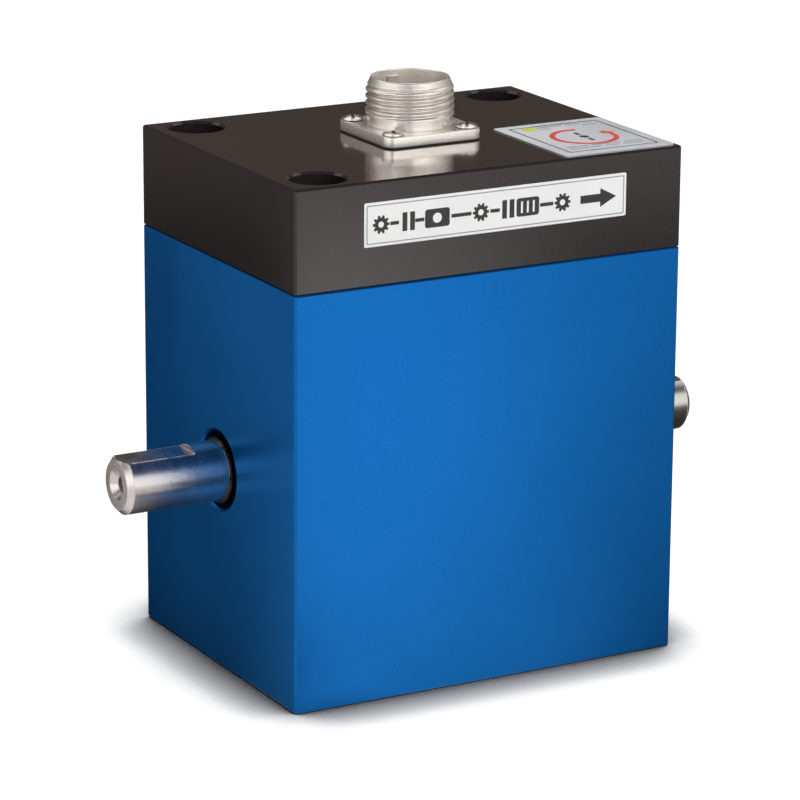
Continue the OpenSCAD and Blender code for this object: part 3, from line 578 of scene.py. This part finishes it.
# Sets a copy of a pattern on each point, turned round the Z axis by a random angle in a range
def copiesTree():
    tree, given, result = startTree("placeCopies", [
        ("Pattern", "NodeSocketObject", None), ("Seed", "NodeSocketInt", 1),
        *numbers("Least Turn", "Most Turn")])
    single = addNode(tree, "GeometryNodeObjectInfo", {"Object": given["Pattern"]})
    turn = addNode(tree, "FunctionNodeRandomValue",
                   {2: given["Least Turn"], 3: given["Most Turn"], "Seed": given["Seed"]},
                   data_type="FLOAT").outputs[1]
    copies = addNode(tree, "GeometryNodeInstanceOnPoints",
                     {"Points": given["Geometry"], "Instance": single.outputs["Geometry"],
                      "Rotation": fromAxes(tree, Z=turn)})
    return endTree(tree, copies.outputs[0], given["Finish"], result)


# Winds the ridge of an inner thread round the Z axis, upwards from each point
def ridgeTree():
    tree, given, result = startTree("windRidge", numbers("Radius", "Pitch", "Length", "Ridge"))
    rounds = calc(tree, "DIVIDE", given["Length"], given["Pitch"])
    path = addNode(tree, "GeometryNodeCurveSpiral",
                   {"Resolution": threadForm["steps"], "Rotations": rounds,
                    "Start Radius": given["Radius"], "End Radius": given["Radius"],
                    "Height": given["Length"]}).outputs[0]
    section = addNode(tree, "GeometryNodeCurvePrimitiveCircle",
                      {"Resolution": threadForm["sides"], "Radius": given["Ridge"]}).outputs[0]
    ridge = addNode(tree, "GeometryNodeCurveToMesh",
                    {"Curve": path, "Profile Curve": section, "Fill Caps": True}).outputs[0]
    copies = addNode(tree, "GeometryNodeInstanceOnPoints",
                     {"Points": given["Geometry"], "Instance": ridge})
    return endTree(tree, copies.outputs[0], given["Finish"], result)


cutThread, placeCopies, windRidge = threadTree(), copiesTree(), ridgeTree()


# Hangs a piece on the body that carries it and hides the CAD nodes it replaces; the slot it is
# given is not used
def assign(piece, slot, *nodes, body="root"):
    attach(piece, body)
    if nodes:
        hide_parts(*nodes)


# Copies of one shape at the given points, as one piece in the place of a CAD node
def repeatShape(name, shape, places, finish, node, seed=1, turns=(0.0, 360.0)):
    single = makePiece(name + "Pattern", *shape, finish)
    piece = makePiece(name, places, [], finish)
    applyTree(piece, placeCopies, {
        "Finish": materials[finish], "Pattern": single, "Seed": seed,
        "Least Turn": math.radians(turns[0]), "Most Turn": math.radians(turns[1])})
    bpy.data.objects.remove(single)
    dressMesh(piece, finish)
    assign(piece, finish, node)


# Connector shell: square flange, threaded barrel and key
shell = dict(
    boreRadius=6.6, rearRadius=7.25, neckRadius=7.75, threadRadius=8.0, rimRadius=7.1,
    mouthRadius=6.80, rear=85.8, flangeBase=94.8, flangeTop=96.6, threadBase=98.6, neckEdge=0.1,
    lead=103.3, leadRows=26, rim=105.3, rimEdge=0.06, rimDrop=0.05, mouthBase=102.9,
    mouthDrop=0.16, pitch=1.25, depth=0.55, rowsPerPitch=16, segments=192, uncut=0.1,
    flangeWidth=19.5, flangeCorner=2.0, flangeEdge=0.18, flangeGap=0.3, holePlace=7.55,
    holeRadius=1.1, gasketBase=94.5, gasketThickness=0.17, gasketGap=0.1, keyWidth=2.0,
    keyBase=97.3, keyTop=104.2, keyHeight=0.6, keyRoot=0.25, sharpAngle=62.0)


def buildBarrel():
    look = shell
    bore, rearRadius, neck, thread, tip, mouth = (
        look[part + "Radius"] for part in ("bore", "rear", "neck", "thread", "rim", "mouth"))
    base, lead, rim, edge = look["threadBase"], look["lead"], look["rim"], look["rimEdge"]
    rows = round((lead - base) / look["pitch"] * look["rowsPerPitch"])
    step = (lead - base) / rows
    profile = [(bore, look["mouthBase"]), (bore, look["rear"]), (rearRadius, look["rear"]),
               (rearRadius, look["flangeBase"]), (neck, look["flangeBase"]),
               (neck, base - look["neckEdge"]), (thread, base)]
    profile += [(thread, base + step * (row + 1)) for row in range(rows)]
    for row in range(1, look["leadRows"]):
        share = row / look["leadRows"]
        profile.append((thread + share * (tip - thread), lead + share * (rim - lead)))
    profile += [(tip, rim - look["rimDrop"]), (tip - edge, rim), (mouth + edge, rim),
                (mouth, rim - edge), (mouth, rim - look["mouthDrop"])]
    barrel = makePiece("connectorShell", *loft(profile, look["segments"], hollow=True), "nickel")
    return applyTree(barrel, cutThread, {
        "Finish": materials["nickel"], "Radius": thread * mm, "Pitch": look["pitch"] * mm,
        "Depth": look["depth"] * mm, "Start": base * mm,
        "Inner Radius": (tip - look["uncut"]) * mm})


def buildConnectorShell():
    look = shell
    barrel = buildBarrel()
    outlines = [roundOutline(look["flangeWidth"], look["flangeWidth"], look["flangeCorner"]),
                circleOutline(look["boreRadius"] + look["flangeGap"], steps=96)]
    outlines += [circleOutline(look["holeRadius"], x, y, 32)
                 for x, y, z in fourPlaces(look["holePlace"], look["holePlace"])]
    flangeFoot = look["gasketBase"] + look["gasketThickness"]
    flange = cutSheet("connectorFlange", outlines, look["flangeTop"] - flangeFoot, "nickel",
                      look["flangeEdge"])
    flange.data.transform(raised(flangeFoot))
    outlines[1] = circleOutline(look["rearRadius"] + look["gasketGap"], steps=96)
    gasket = cutSheet("connectorGasket", outlines, look["gasketThickness"], "black_rubber")
    gasket.data.transform(raised(look["gasketBase"]))
    assign(gasket, "black_rubber", "connector_gasket")
    half = look["keyWidth"] / 2
    inner, outer = look["boreRadius"] - look["keyHeight"], look["boreRadius"] + look["keyRoot"]
    points = [(x, y, z) for z in (look["keyBase"], look["keyTop"])
              for x, y in ((-half, inner), (half, inner), (half, outer), (-half, outer))]
    sides = [(i, (i + 1) % 4, (i + 1) % 4 + 4, i + 4) for i in range(4)]
    key = makePiece("connectorKey", points, [(3, 2, 1, 0), (4, 5, 6, 7)] + sides, "nickel")
    whole = joinPieces("connectorShell", barrel, flange, key)
    dressMesh(whole, "nickel", look["sharpAngle"])
    assign(whole, "nickel", "connector_shell")


# Contact pins in two rings (count, radius); a tip's rings are (share of the radius, drop)
pins = dict(radius=0.5, tail=83.3, tip=100.1, rings=((8, 4.3), (4, 1.9)), segments=24,
            tipRings=((1.0, 0.45), (0.92, 0.24), (0.70, 0.08), (0.34, 0.0)))


def buildPins():
    radius, tip = pins["radius"], pins["tip"]
    shape = loft([(radius, pins["tail"])] + [(share * radius, tip - drop)
                                             for share, drop in pins["tipRings"]],
                 pins["segments"])
    places = [(x, y, 0) for count, reach in pins["rings"]
              for x, y in circleOutline(reach, steps=count)]
    repeatShape("connectorPins", shape, places, "gold_contact", "connector_pins")


# Socket head screws at the bottom of the cover's counterbores
coverScrew = dict(
    x=31.2, y=23.4, seat=84.5, headRadius=4.25, headHeight=5.0, headEdge=0.35, knurls=36,
    knurlDepth=0.14, knurlFoot=0.4, knurlEnd=0.9, collar=0.7, socketFlats=4.0, socketDepth=2.5,
    socketEdge=0.25, drillRadius=0.4, drillDepth=0.5, shankRadius=2.5, shankEnd=75.85,
    coreRadius=2.1, tip=64.85, tipEdge=0.4, segments=144, seed=4)


def buildCoverScrews():
    look = coverScrew
    seat, top = look["seat"], look["seat"] + look["headHeight"]
    core, shank, edge = look["coreRadius"], look["shankRadius"], look["tipEdge"]
    depth = look["knurlDepth"]
    flat = look["socketFlats"] / 2

    def knurled(angle):
        return look["headRadius"] - depth * (0.5 + 0.5 * math.cos(look["knurls"] * angle))

    def hexagon(angle):
        side = math.pi / 3
        return flat / math.cos((angle + side / 2) % side - side / 2)

    corner = flat / math.cos(math.pi / 6)
    smooth = look["headRadius"] - depth
    shape = loft([(core - edge, look["tip"]), (core, look["tip"] + edge),
                  (core, look["shankEnd"]), (shank, look["shankEnd"]), (shank, seat),
                  (smooth, seat), (knurled, seat + look["knurlFoot"]),
                  (knurled, top - look["knurlEnd"]), (smooth, top - look["collar"]),
                  (smooth, top - look["headEdge"]), (smooth - look["headEdge"], top),
                  (corner + look["socketEdge"], top), (hexagon, top - look["socketEdge"]),
                  (hexagon, top - look["socketDepth"]),
                  (look["drillRadius"], top - look["socketDepth"] - look["drillDepth"])],
                 look["segments"])
    repeatShape("coverScrews", shape, fourPlaces(look["x"], look["y"]), "black_steel",
                "cover_screws", look["seed"])


# Small pan head screws with a cross recess, on the connector's flange
flangeScrew = dict(
    place=7.55, seat=96.6, headRadius=1.96, side=0.42, height=0.88, foot=0.05, footHeight=0.08,
    rimDrop=0.1, rimStep=0.07, armLength=1.78, armWidth=0.33,
    shoulders=((0.85, 0.06), (0.66, 0.04), (0.46, 0.02)), recessShare=0.82, recessDepth=0.7,
    turns=(54.0, 66.0), shankRadius=1.0, coreRadius=0.84, shankEnd=94.5, tip=90.5, segments=96,
    seed=11)


def buildFlangeScrews():
    look = flangeScrew
    head, seat, core, shank = (look[key] for key in ("headRadius", "seat", "coreRadius",
                                                     "shankRadius"))
    rise = look["height"] - look["side"]
    sphere = (head ** 2 + rise ** 2) / (2 * rise)

    def dome(reach):
        return seat + look["height"] - sphere + math.sqrt(sphere ** 2 - reach ** 2)

    def cross(size):
        def outline(angle):
            along, across = abs(math.cos(angle)) + 1e-6, abs(math.sin(angle)) + 1e-6
            long, short = look["armLength"] * size, look["armWidth"] * size
            return max(min(long / along, short / across), min(short / along, long / across))
        return outline

    def shoulder(share, gap):  # a ring on the dome that keeps outside the recess
        return lambda angle: max(share * head, cross(1.0)(angle) + gap)

    shape = loft([(core, look["tip"]), (core, look["shankEnd"]), (shank, look["shankEnd"]),
                  (shank, seat), (head - look["foot"], seat), (head, seat + look["footHeight"]),
                  (head, seat + look["side"] - look["rimDrop"]), (head - look["rimStep"], dome),
                  *((shoulder(*pair), dome) for pair in look["shoulders"]), (cross(1.0), dome),
                  (cross(look["recessShare"]), seat + look["height"] - look["recessDepth"])],
                 look["segments"])
    repeatShape("connectorScrews", shape, fourPlaces(look["place"], look["place"]), "screw_steel",
                "connector_screws", look["seed"], look["turns"])


# Ridges of the threads cut in the base and in the shaft's ends
baseThread = dict(x=30.0, y=22.0, radius=2.1, pitch=0.8, start=0.6, length=8.8, ridge=0.26)
shaftThread = dict(radius=1.68, pitch=0.7, start=1.6, length=7.6, ridge=0.22, end=59.0,
                   axisHeight=37.0)


def buildRidges(name, look, places, finish):
    piece = makePiece(name, places, [], finish)
    applyTree(piece, windRidge, {
        "Finish": materials[finish], "Radius": look["radius"] * mm, "Pitch": look["pitch"] * mm,
        "Length": look["length"] * mm, "Ridge": look["ridge"] * mm})
    dressMesh(piece, finish, sharpAngle=60.0)
    return piece


def buildThreads():
    corners = fourPlaces(baseThread["x"], baseThread["y"], baseThread["start"])
    assign(buildRidges("baseThreads", baseThread, corners, "bare_aluminium"), "bare_aluminium")
    for side, name in ((-1, "leftShaftThread"), (1, "rightShaftThread")):
        ridges = buildRidges(name, shaftThread, [(0, 0, 0)], "shaft_steel")
        inset = shaftThread["end"] - shaftThread["start"]
        turn = Matrix.Rotation(-side * math.pi / 2, 4, "Y")
        ridges.data.transform(
            Matrix.Translation((side * inset * mm, 0, shaftThread["axisHeight"] * mm)) @ turn)
        assign(ridges, "shaft_steel", body="shaft")


# Labels: a plate with printing that stands a hair above it
label = dict(thickness=0.18, ink=0.03, sunk=0.01, edge=0.05)


def barOutline(x0, x1, y0, y1):
    return [(x0, y0), (x1, y0), (x1, y1), (x0, y1)]


# Each tooth is (share of the pitch from its middle, share of the radius)
def gearOutline(radius, x, y, teeth, tooth=((-0.34, 0.76), (-0.2, 1.0), (0.2, 1.0), (0.34, 0.76))):
    return [onCircle(radius * reach, 2 * math.pi * (i + share) / teeth, x, y)
            for i in range(teeth) for share, reach in tooth]


# Open ring that ends in an arrowhead: the sense in which a shaft turns
def turnOutline(radius, width, x, y, start, end, headLength, headWidth, steps=60):
    def spot(reach, degrees):
        return onCircle(reach, math.radians(degrees), x, y)

    arc = [start + (end - start) * i / steps for i in range(steps + 1)]
    inner, middle = radius - width, radius - width / 2
    head = [spot(middle + headWidth / 2, end), spot(middle, end + headLength),
            spot(middle - headWidth / 2, end)]
    return [spot(radius, a) for a in arc] + head + [spot(inner, a) for a in reversed(arc)]


def layPlate(name, look, node, *centre):
    outline = roundOutline(look["width"], look["height"], look["corner"], *centre)
    plate = cutSheet(name, [outline], label["thickness"], look["slot"], label["edge"])
    plate.data.transform(look["matrix"])
    assign(plate, look["slot"], node)


def printOn(name, outlines, finish, look):
    ink = cutSheet(name, outlines, label["ink"], finish)
    ink.data.transform(look["matrix"] @ raised(label["thickness"] - label["sunk"]))
    assign(ink, look["slot"])


# A frame of two outlines, its width inside a label's edge
def frameOutlines(look, corner, *more):
    inset = look["borderInset"]
    return [roundOutline(look["width"] - 2 * gap, look["height"] - 2 * gap, corner, *more)
            for gap in (inset, inset + look["borderWidth"])]


frontLabel = dict(
    slot="label_white", width=52.9, height=7.8, centreX=0.75, corner=0.3,
    matrix=Matrix.Translation((0, -30.0 * mm, 86.9 * mm)) @ Matrix.Rotation(math.pi / 2, 4, "X"),
    borderInset=0.45, borderWidth=0.2, arrow=(17.7, 21.8, 25.1), arrowHeight=3.4, tailHeight=1.45,
    symbolHeight=3.3, centreLine=-0.1, gears=(-22.4, -2.6, 14.0), teeth=10, gearBore=0.55,
    shaftHalf=0.32, discs=(-18.2, -16.7, 1.7, 3.2), discWidth=0.95, symbolCorner=0.5,
    block=(4.9, -11.3), blockBore=0.9, drum=(4.6, 6.9), slots=(5.5, 6.7, 7.9), slotWidth=0.4,
    slotHalf=1.05,
    shafts=((-20.6, -18.9), (-15.7, -13.9), (-8.5, -4.5), (-0.7, 1.2), (9.4, 12.1)))


def buildFrontLabel():
    look = frontLabel
    layPlate("frontLabel", look, "front_label", look["centreX"])
    rims = frameOutlines(look, look["corner"], look["centreX"])
    printOn("frontLabelBorder", rims, "print_grey", look)
    tail, base, tip = look["arrow"]
    y, half, thin = look["centreLine"], look["arrowHeight"] / 2, look["tailHeight"] / 2
    marks = [[(tail, y - thin), (base, y - thin), (base, y - half), (tip, y), (base, y + half),
              (base, y + thin), (tail, y + thin)]]
    high = look["symbolHeight"] / 2
    for x in look["gears"]:
        marks += [gearOutline(high, x, y, look["teeth"]), circleOutline(look["gearBore"], x, y, 24)]
    marks += [barOutline(x0, x1, y - look["shaftHalf"], y + look["shaftHalf"])
              for x0, x1 in look["shafts"]]
    marks += [barOutline(x, x + look["discWidth"], y - high, y + high) for x in look["discs"]]
    for width, x in (look["block"], look["drum"]):
        marks.append(roundOutline(width, 2 * high, look["symbolCorner"], x, y))
    marks.append(circleOutline(look["blockBore"], look["block"][1], y, 24))
    marks += [barOutline(x, x + look["slotWidth"], y - look["slotHalf"], y + look["slotHalf"])
              for x in look["slots"]]
    printOn("frontLabelPrint", marks, "print_black", look)


# The ring turns from the first angle to the second and ends in a head of the given length and
# width; the rows of bars are a height and pairs of (start, length)
topLabel = dict(
    slot="label_silver", matrix=raised(94.5), width=22.8, height=25.8, centreX=26.8,
    centreY=-16.0, corner=0.8, borderInset=2.1, borderWidth=0.3, borderCorner=0.3,
    ring=(26.8, -16.4), ringRadius=6.3, ringWidth=1.05, ringTurn=(75.0, 368.0, 24.0, 2.9),
    hub=0.9, stubHalf=0.35, stub=(1.5, 3.4), mark=(2.6, 2.6, 0.5, 20.9, -7.0), barHeight=0.62,
    rows=((-5.4, ((22.6, 3.2), (26.6, 5.0), (32.4, 2.4))),
          (-6.8, ((22.6, 5.4), (28.8, 3.0), (32.6, 2.0))),
          (-8.2, ((22.6, 2.4), (31.6, 3.2))),
          (-23.4, ((19.0, 4.4), (24.2, 6.0), (31.0, 3.6))),
          (-24.8, ((19.0, 6.4), (26.2, 3.0), (30.0, 4.2)))))


def buildTopLabel():
    look = topLabel
    x, y = look["centreX"], look["centreY"]
    layPlate("topLabel", look, "top_label", x, y)
    ringX, ringY = look["ring"]
    near, far = look["stub"]
    hub = [circleOutline(look["hub"], ringX, ringY, 24)]
    left, right = ringX - look["stubHalf"], ringX + look["stubHalf"]
    hub += [barOutline(left, right, ringY + low, ringY + high)
            for low, high in ((near, far), (-far, -near))]
    printOn("topLabelPrint", frameOutlines(look, look["borderCorner"], x, y, 4) + hub,
            "print_black", look)
    ring = turnOutline(look["ringRadius"], look["ringWidth"], ringX, ringY, *look["ringTurn"])
    printOn("topLabelRing", [ring], "print_red", look)
    printOn("topLabelMark", [roundOutline(*look["mark"])], "print_green", look)
    bars = [barOutline(x0, x0 + run, row, row + look["barHeight"])
            for row, spans in look["rows"] for x0, run in spans]
    printOn("topLabelRows", bars, "print_grey", look)


for build in (buildConnectorShell, buildPins, buildCoverScrews, buildFlangeScrews, buildThreads,
              buildFrontLabel, buildTopLabel):
    build()
print("pieces built")


# Camera, at the photograph's viewing angle
view = dict(aim=(-1.59, 0.0, 45.01), distance=723.3, azimuth=29.187, elevation=16.06, roll=0.403,
            lens=177.53, sensor=36.0, clipStart=0.01)


def placeCamera():
    azimuth, elevation = math.radians(view["azimuth"]), math.radians(view["elevation"])
    ahead = Vector((math.cos(elevation) * math.sin(azimuth),
                    math.cos(elevation) * math.cos(azimuth), -math.sin(elevation)))
    lens = bpy.data.cameras.new("camera")
    lens.lens = view["lens"]
    lens.sensor_width = view["sensor"]
    lens.clip_start = view["clipStart"]
    camera = addObject("camera", lens)
    spot = (Vector(view["aim"]) - ahead * view["distance"]) * mm
    turn = ahead.to_track_quat("-Z", "Y").to_matrix() @ Matrix.Rotation(
        math.radians(view["roll"]), 3, "Z")
    camera.matrix_world = Matrix.Translation(spot) @ turn.to_4x4()
    bpy.context.scene.camera = camera
    return ahead


viewAhead = placeCamera()
print("camera placed")


# Studio: soft lamps, a pale floor with a painted contact shadow, a white surround, and a dome and a
# ground that only reflections see, with a level for each direction round the object as seen from
# the camera
studio = dict(
    fill=0.22, floorRadius=4.0, floorAlbedo=0.62, floorGlow=0.45, floorGlowStrength=1.9,
    discSteps=96, paintedShadowReach=0.016, paintedShadowSamples=8,
    paintedShadowLine=(0.46, 0.58),  # painted contact shadow: openness over which the floor's own colour comes up from black
    contact=[  # painted contact shadow: openness of the floor, level of its glow
        (0.50, 0.0), (0.62, 0.12), (0.72, 0.26), (0.80, 0.40), (0.87, 0.80), (0.92, 1.0)],
    lamps=[  # name, place, aim, width, height, power
        ("keyLamp", (0.10, -0.95, 0.55), (0.0, 0.0, 0.05), 0.80, 0.60, 7.5),
        ("topLamp", (0.05, 0.10, 1.10), (0.0, 0.0, 0.09), 0.70, 0.70, 7.0)],
    domeRadius=3.0, domeRows=24, domeSegments=72, groundShare=0.99, groundHeight=0.05,
    around=[  # the dome: degrees to the right of the camera, level
        (-180, 0.07), (-150, 0.10), (-122, 0.25), (-104, 0.55), (-88, 0.92), (-62, 1.20),
        (-40, 1.65), (-15, 0.95), (4, 0.42), (7, 1.40), (28, 1.55), (48, 1.55), (70, 0.95),
        (105, 0.45), (130, 0.16), (160, 0.08), (180, 0.07)],
    aroundGround=[  # the ground far out
        (-180, 0.25), (-135, 0.15), (-112, 0.30), (-100, 0.70), (-88, 0.95), (-40, 1.0),
        (-15, 0.68), (4, 0.42), (7, 0.86), (28, 1.0), (50, 1.05), (76, 0.70), (105, 0.40),
        (130, 0.25), (180, 0.25)],
    acrossRange=(-0.1, 0.1),
    acrossFront=[  # the ground near the front, from left to right: metres, level
        (-0.095, 0.22), (-0.068, 0.30), (-0.060, 2.05), (-0.035, 1.85), (-0.005, 1.17),
        (0.020, 0.22), (0.060, 0.10)],
    acrossBack=[  # the same behind the front face
        (-0.075, 0.90), (-0.056, 0.68), (-0.049, 0.36), (-0.036, 0.12), (-0.018, 0.05),
        (0.030, 0.05), (0.070, 0.35)],
    alongFront=(0.03, 0.23, 0.42),  # outward: start and end of the rise, level at its start
    besideFront=(0.006, 0.020), farGround=(0.32, 0.45),  # metres over which the fields blend
    fullTint=0.8, tint=((0.90, 0.70, 0.58), (1.0, 0.975, 0.945)),
    above=(0.56, 0.64), overheadEdge=(0.09, 0.13),
    overhead=((0.03, 0.035, 0.05), (1.0, 0.98, 0.95)),
    patch=(-0.0555, 0.034), patchSize=(0.0075, 0.026), patchEdge=(0.70, 1.15),
    patchColour=(0.085, 0.058, 0.048))  # a brown spot that the front's lower left mirrors


def facing(place, aim):
    ahead = Vector(aim) - Vector(place)
    return Matrix.Translation(place) @ ahead.to_track_quat("-Z", "Y").to_matrix().to_4x4()


def addLamp(name, place, aim, width, height, power):
    light = bpy.data.lights.new(name, "AREA")
    light.shape = "RECTANGLE"
    light.size, light.size_y, light.energy = width, height, power
    lamp = addObject(name, light)
    lamp.matrix_world = facing(place, aim)
    lamp.visible_glossy = False


# Colour ramp with the given (position, colour) stops
def addRamp(tree, value, stops):
    ramp = addNode(tree, "ShaderNodeValToRGB", {"Fac": value})
    elements = ramp.color_ramp.elements
    while len(elements) > 1:
        elements.remove(elements[0])
    elements[0].position, elements[0].color = stops[0][0], opaque(stops[0][1])
    for position, colour in stops[1:]:
        elements.new(position).color = opaque(colour)
    return ramp.outputs["Color"]


# Levels over a range of values, warm brown where they are low and cream where they are high
def levelRamp(tree, value, table, start, end):
    low, high = studio["tint"]
    stops = []
    for position, level in table:
        tint = [level * (dark + (light - dark) * min(level / studio["fullTint"], 1.0))
                for dark, light in zip(low, high)]
        stops.append(((position - start) / (end - start), tint))
    return addRamp(tree, spread(tree, value, start, end), stops)


# Level of what reflections see, by its direction round the object
def surroundColour(tree, place, table):
    toCamera = Vector((-viewAhead.x, -viewAhead.y, 0.0)).normalized()
    right = Vector((-toCamera.y, toCamera.x, 0.0))
    nearer = vectorCalc(tree, "DOT_PRODUCT", place, toCamera)
    sideways = vectorCalc(tree, "DOT_PRODUCT", place, right)
    turn = calc(tree, "DEGREES", calc(tree, "ARCTAN2", sideways, nearer))
    return levelRamp(tree, turn, table, -180.0, 180.0)


def onlyReflected(piece, tree, colour):
    glow = addNode(tree, "ShaderNodeEmission", {"Color": colour, "Strength": 1.0})
    addNode(tree, "ShaderNodeOutputMaterial", {"Surface": glow.outputs["Emission"]})
    for ray in ("camera", "diffuse", "transmission", "volume_scatter", "shadow"):
        setattr(piece, "visible_" + ray, False)


# Gives a piece a material of its own and returns its empty tree
def ownTree(piece, name):
    material, tree = emptyMaterial(name)
    piece.data.materials[0] = material
    return tree


def addDisc(name, radius, height):
    outline = circleOutline(radius / mm, steps=studio["discSteps"])
    return makePiece(name, [(x, y, height) for x, y in outline], [tuple(range(len(outline)))],
                     "label_white")


def buildDome():
    rows, reach = studio["domeRows"], studio["domeRadius"] / mm
    profile = [onCircle(reach, math.pi / 2 * row / rows) for row in range(rows)]
    dome = makePiece("reflectedDome", *loft(profile, studio["domeSegments"]), "label_white")
    tree = ownTree(dome, "reflectedDome")
    place = objectPlace(tree)
    way = vectorCalc(tree, "NORMALIZE", place)
    height = axesOf(tree, way)["Z"]
    behind = vectorCalc(tree, "DOT_PRODUCT", way, (viewAhead.x, viewAhead.y, 0.0))
    overhead = blend(tree, behind, studio["overheadEdge"], *studio["overhead"])
    colour = blend(tree, height, studio["above"],
                   surroundColour(tree, place, studio["around"]), overhead)
    onlyReflected(dome, tree, colour)


def buildGround():
    ground = addDisc("reflectedGround", studio["groundShare"] * studio["domeRadius"],
                     studio["groundHeight"])
    tree = ownTree(ground, "reflectedGround")
    place = objectPlace(tree)
    reach = vectorCalc(tree, "LENGTH", place)
    ahead = Vector((viewAhead.x, -viewAhead.y, 0.0)).normalized()  # as the front face mirrors it
    outward = vectorCalc(tree, "DOT_PRODUCT", place, ahead)
    across = vectorCalc(tree, "DOT_PRODUCT", place, (-ahead.y, ahead.x, 0.0))
    frontLevel = levelRamp(tree, across, studio["acrossFront"], *studio["acrossRange"])
    faded = blend(tree, outward, studio["alongFront"], (0, 0, 0), frontLevel)
    backLevel = levelRamp(tree, across, studio["acrossBack"], *studio["acrossRange"])
    close = blend(tree, outward, studio["besideFront"], backLevel, faded)
    (patchX, patchY), (sizeX, sizeY) = studio["patch"], studio["patchSize"]
    stretched = fromAxes(tree, X=calc(tree, "DIVIDE", across, sizeX),
                         Y=calc(tree, "DIVIDE", outward, sizeY))
    fromPatch = vectorCalc(tree, "DISTANCE", stretched, (patchX / sizeX, patchY / sizeY, 0.0))
    close = blend(tree, fromPatch, studio["patchEdge"], studio["patchColour"], close)
    colour = blend(tree, reach, studio["farGround"], close,
                   surroundColour(tree, place, studio["aroundGround"]))
    onlyReflected(ground, tree, colour)


# Factor that is 1 for rays from the camera, from gloss and through glass
def seenRays(tree):
    path = addNode(tree, "ShaderNodeLightPath").outputs
    either = calc(tree, "MAXIMUM", path["Is Camera Ray"], path["Is Glossy Ray"])
    return calc(tree, "MAXIMUM", either, path["Is Transmission Ray"])


def buildWorld():
    world = bpy.data.worlds.new("surround")
    bpy.context.scene.world = world
    world.use_nodes = True
    tree = world.node_tree
    tree.nodes.clear()
    strength = spread(tree, seenRays(tree), 0.0, 1.0, studio["fill"], 1.0)
    light = addNode(tree, "ShaderNodeBackground", {"Color": (1, 1, 1, 1), "Strength": strength})
    addNode(tree, "ShaderNodeOutputWorld", {"Surface": light.outputs["Background"]})


def buildFloor():
    floor = addDisc("floor", studio["floorRadius"], 0.0)
    tree = ownTree(floor, "paleFloor")
    # Painted contact shadow: near the object, the floor's openness darkens its glow and its own
    # colour
    openness = addNode(tree, "ShaderNodeAmbientOcclusion", {"Distance": studio["paintedShadowReach"]},
                       samples=studio["paintedShadowSamples"]).outputs["AO"]
    tone = addRamp(tree, openness, [(amount, (level,) * 3) for amount, level in studio["contact"]])
    skin = blend(tree, openness, studio["paintedShadowLine"], (0, 0, 0), (studio["floorAlbedo"],) * 3)
    matt = addNode(tree, "ShaderNodeBsdfDiffuse", {"Color": skin})
    glow = addNode(tree, "ShaderNodeEmission",
                   {"Color": tone, "Strength": studio["floorGlowStrength"]})
    share = times(tree, seenRays(tree), studio["floorGlow"])
    both = addNode(tree, "ShaderNodeMixShader",
                   {0: share, 1: matt.outputs["BSDF"], 2: glow.outputs["Emission"]})
    addNode(tree, "ShaderNodeOutputMaterial", {"Surface": both.outputs["Shader"]})


for build in (buildWorld, buildFloor, buildDome, buildGround):
    build()
for lamp in studio["lamps"]:
    addLamp(*lamp)
bpy.context.scene.view_settings.view_transform = "Standard"
print("studio built")
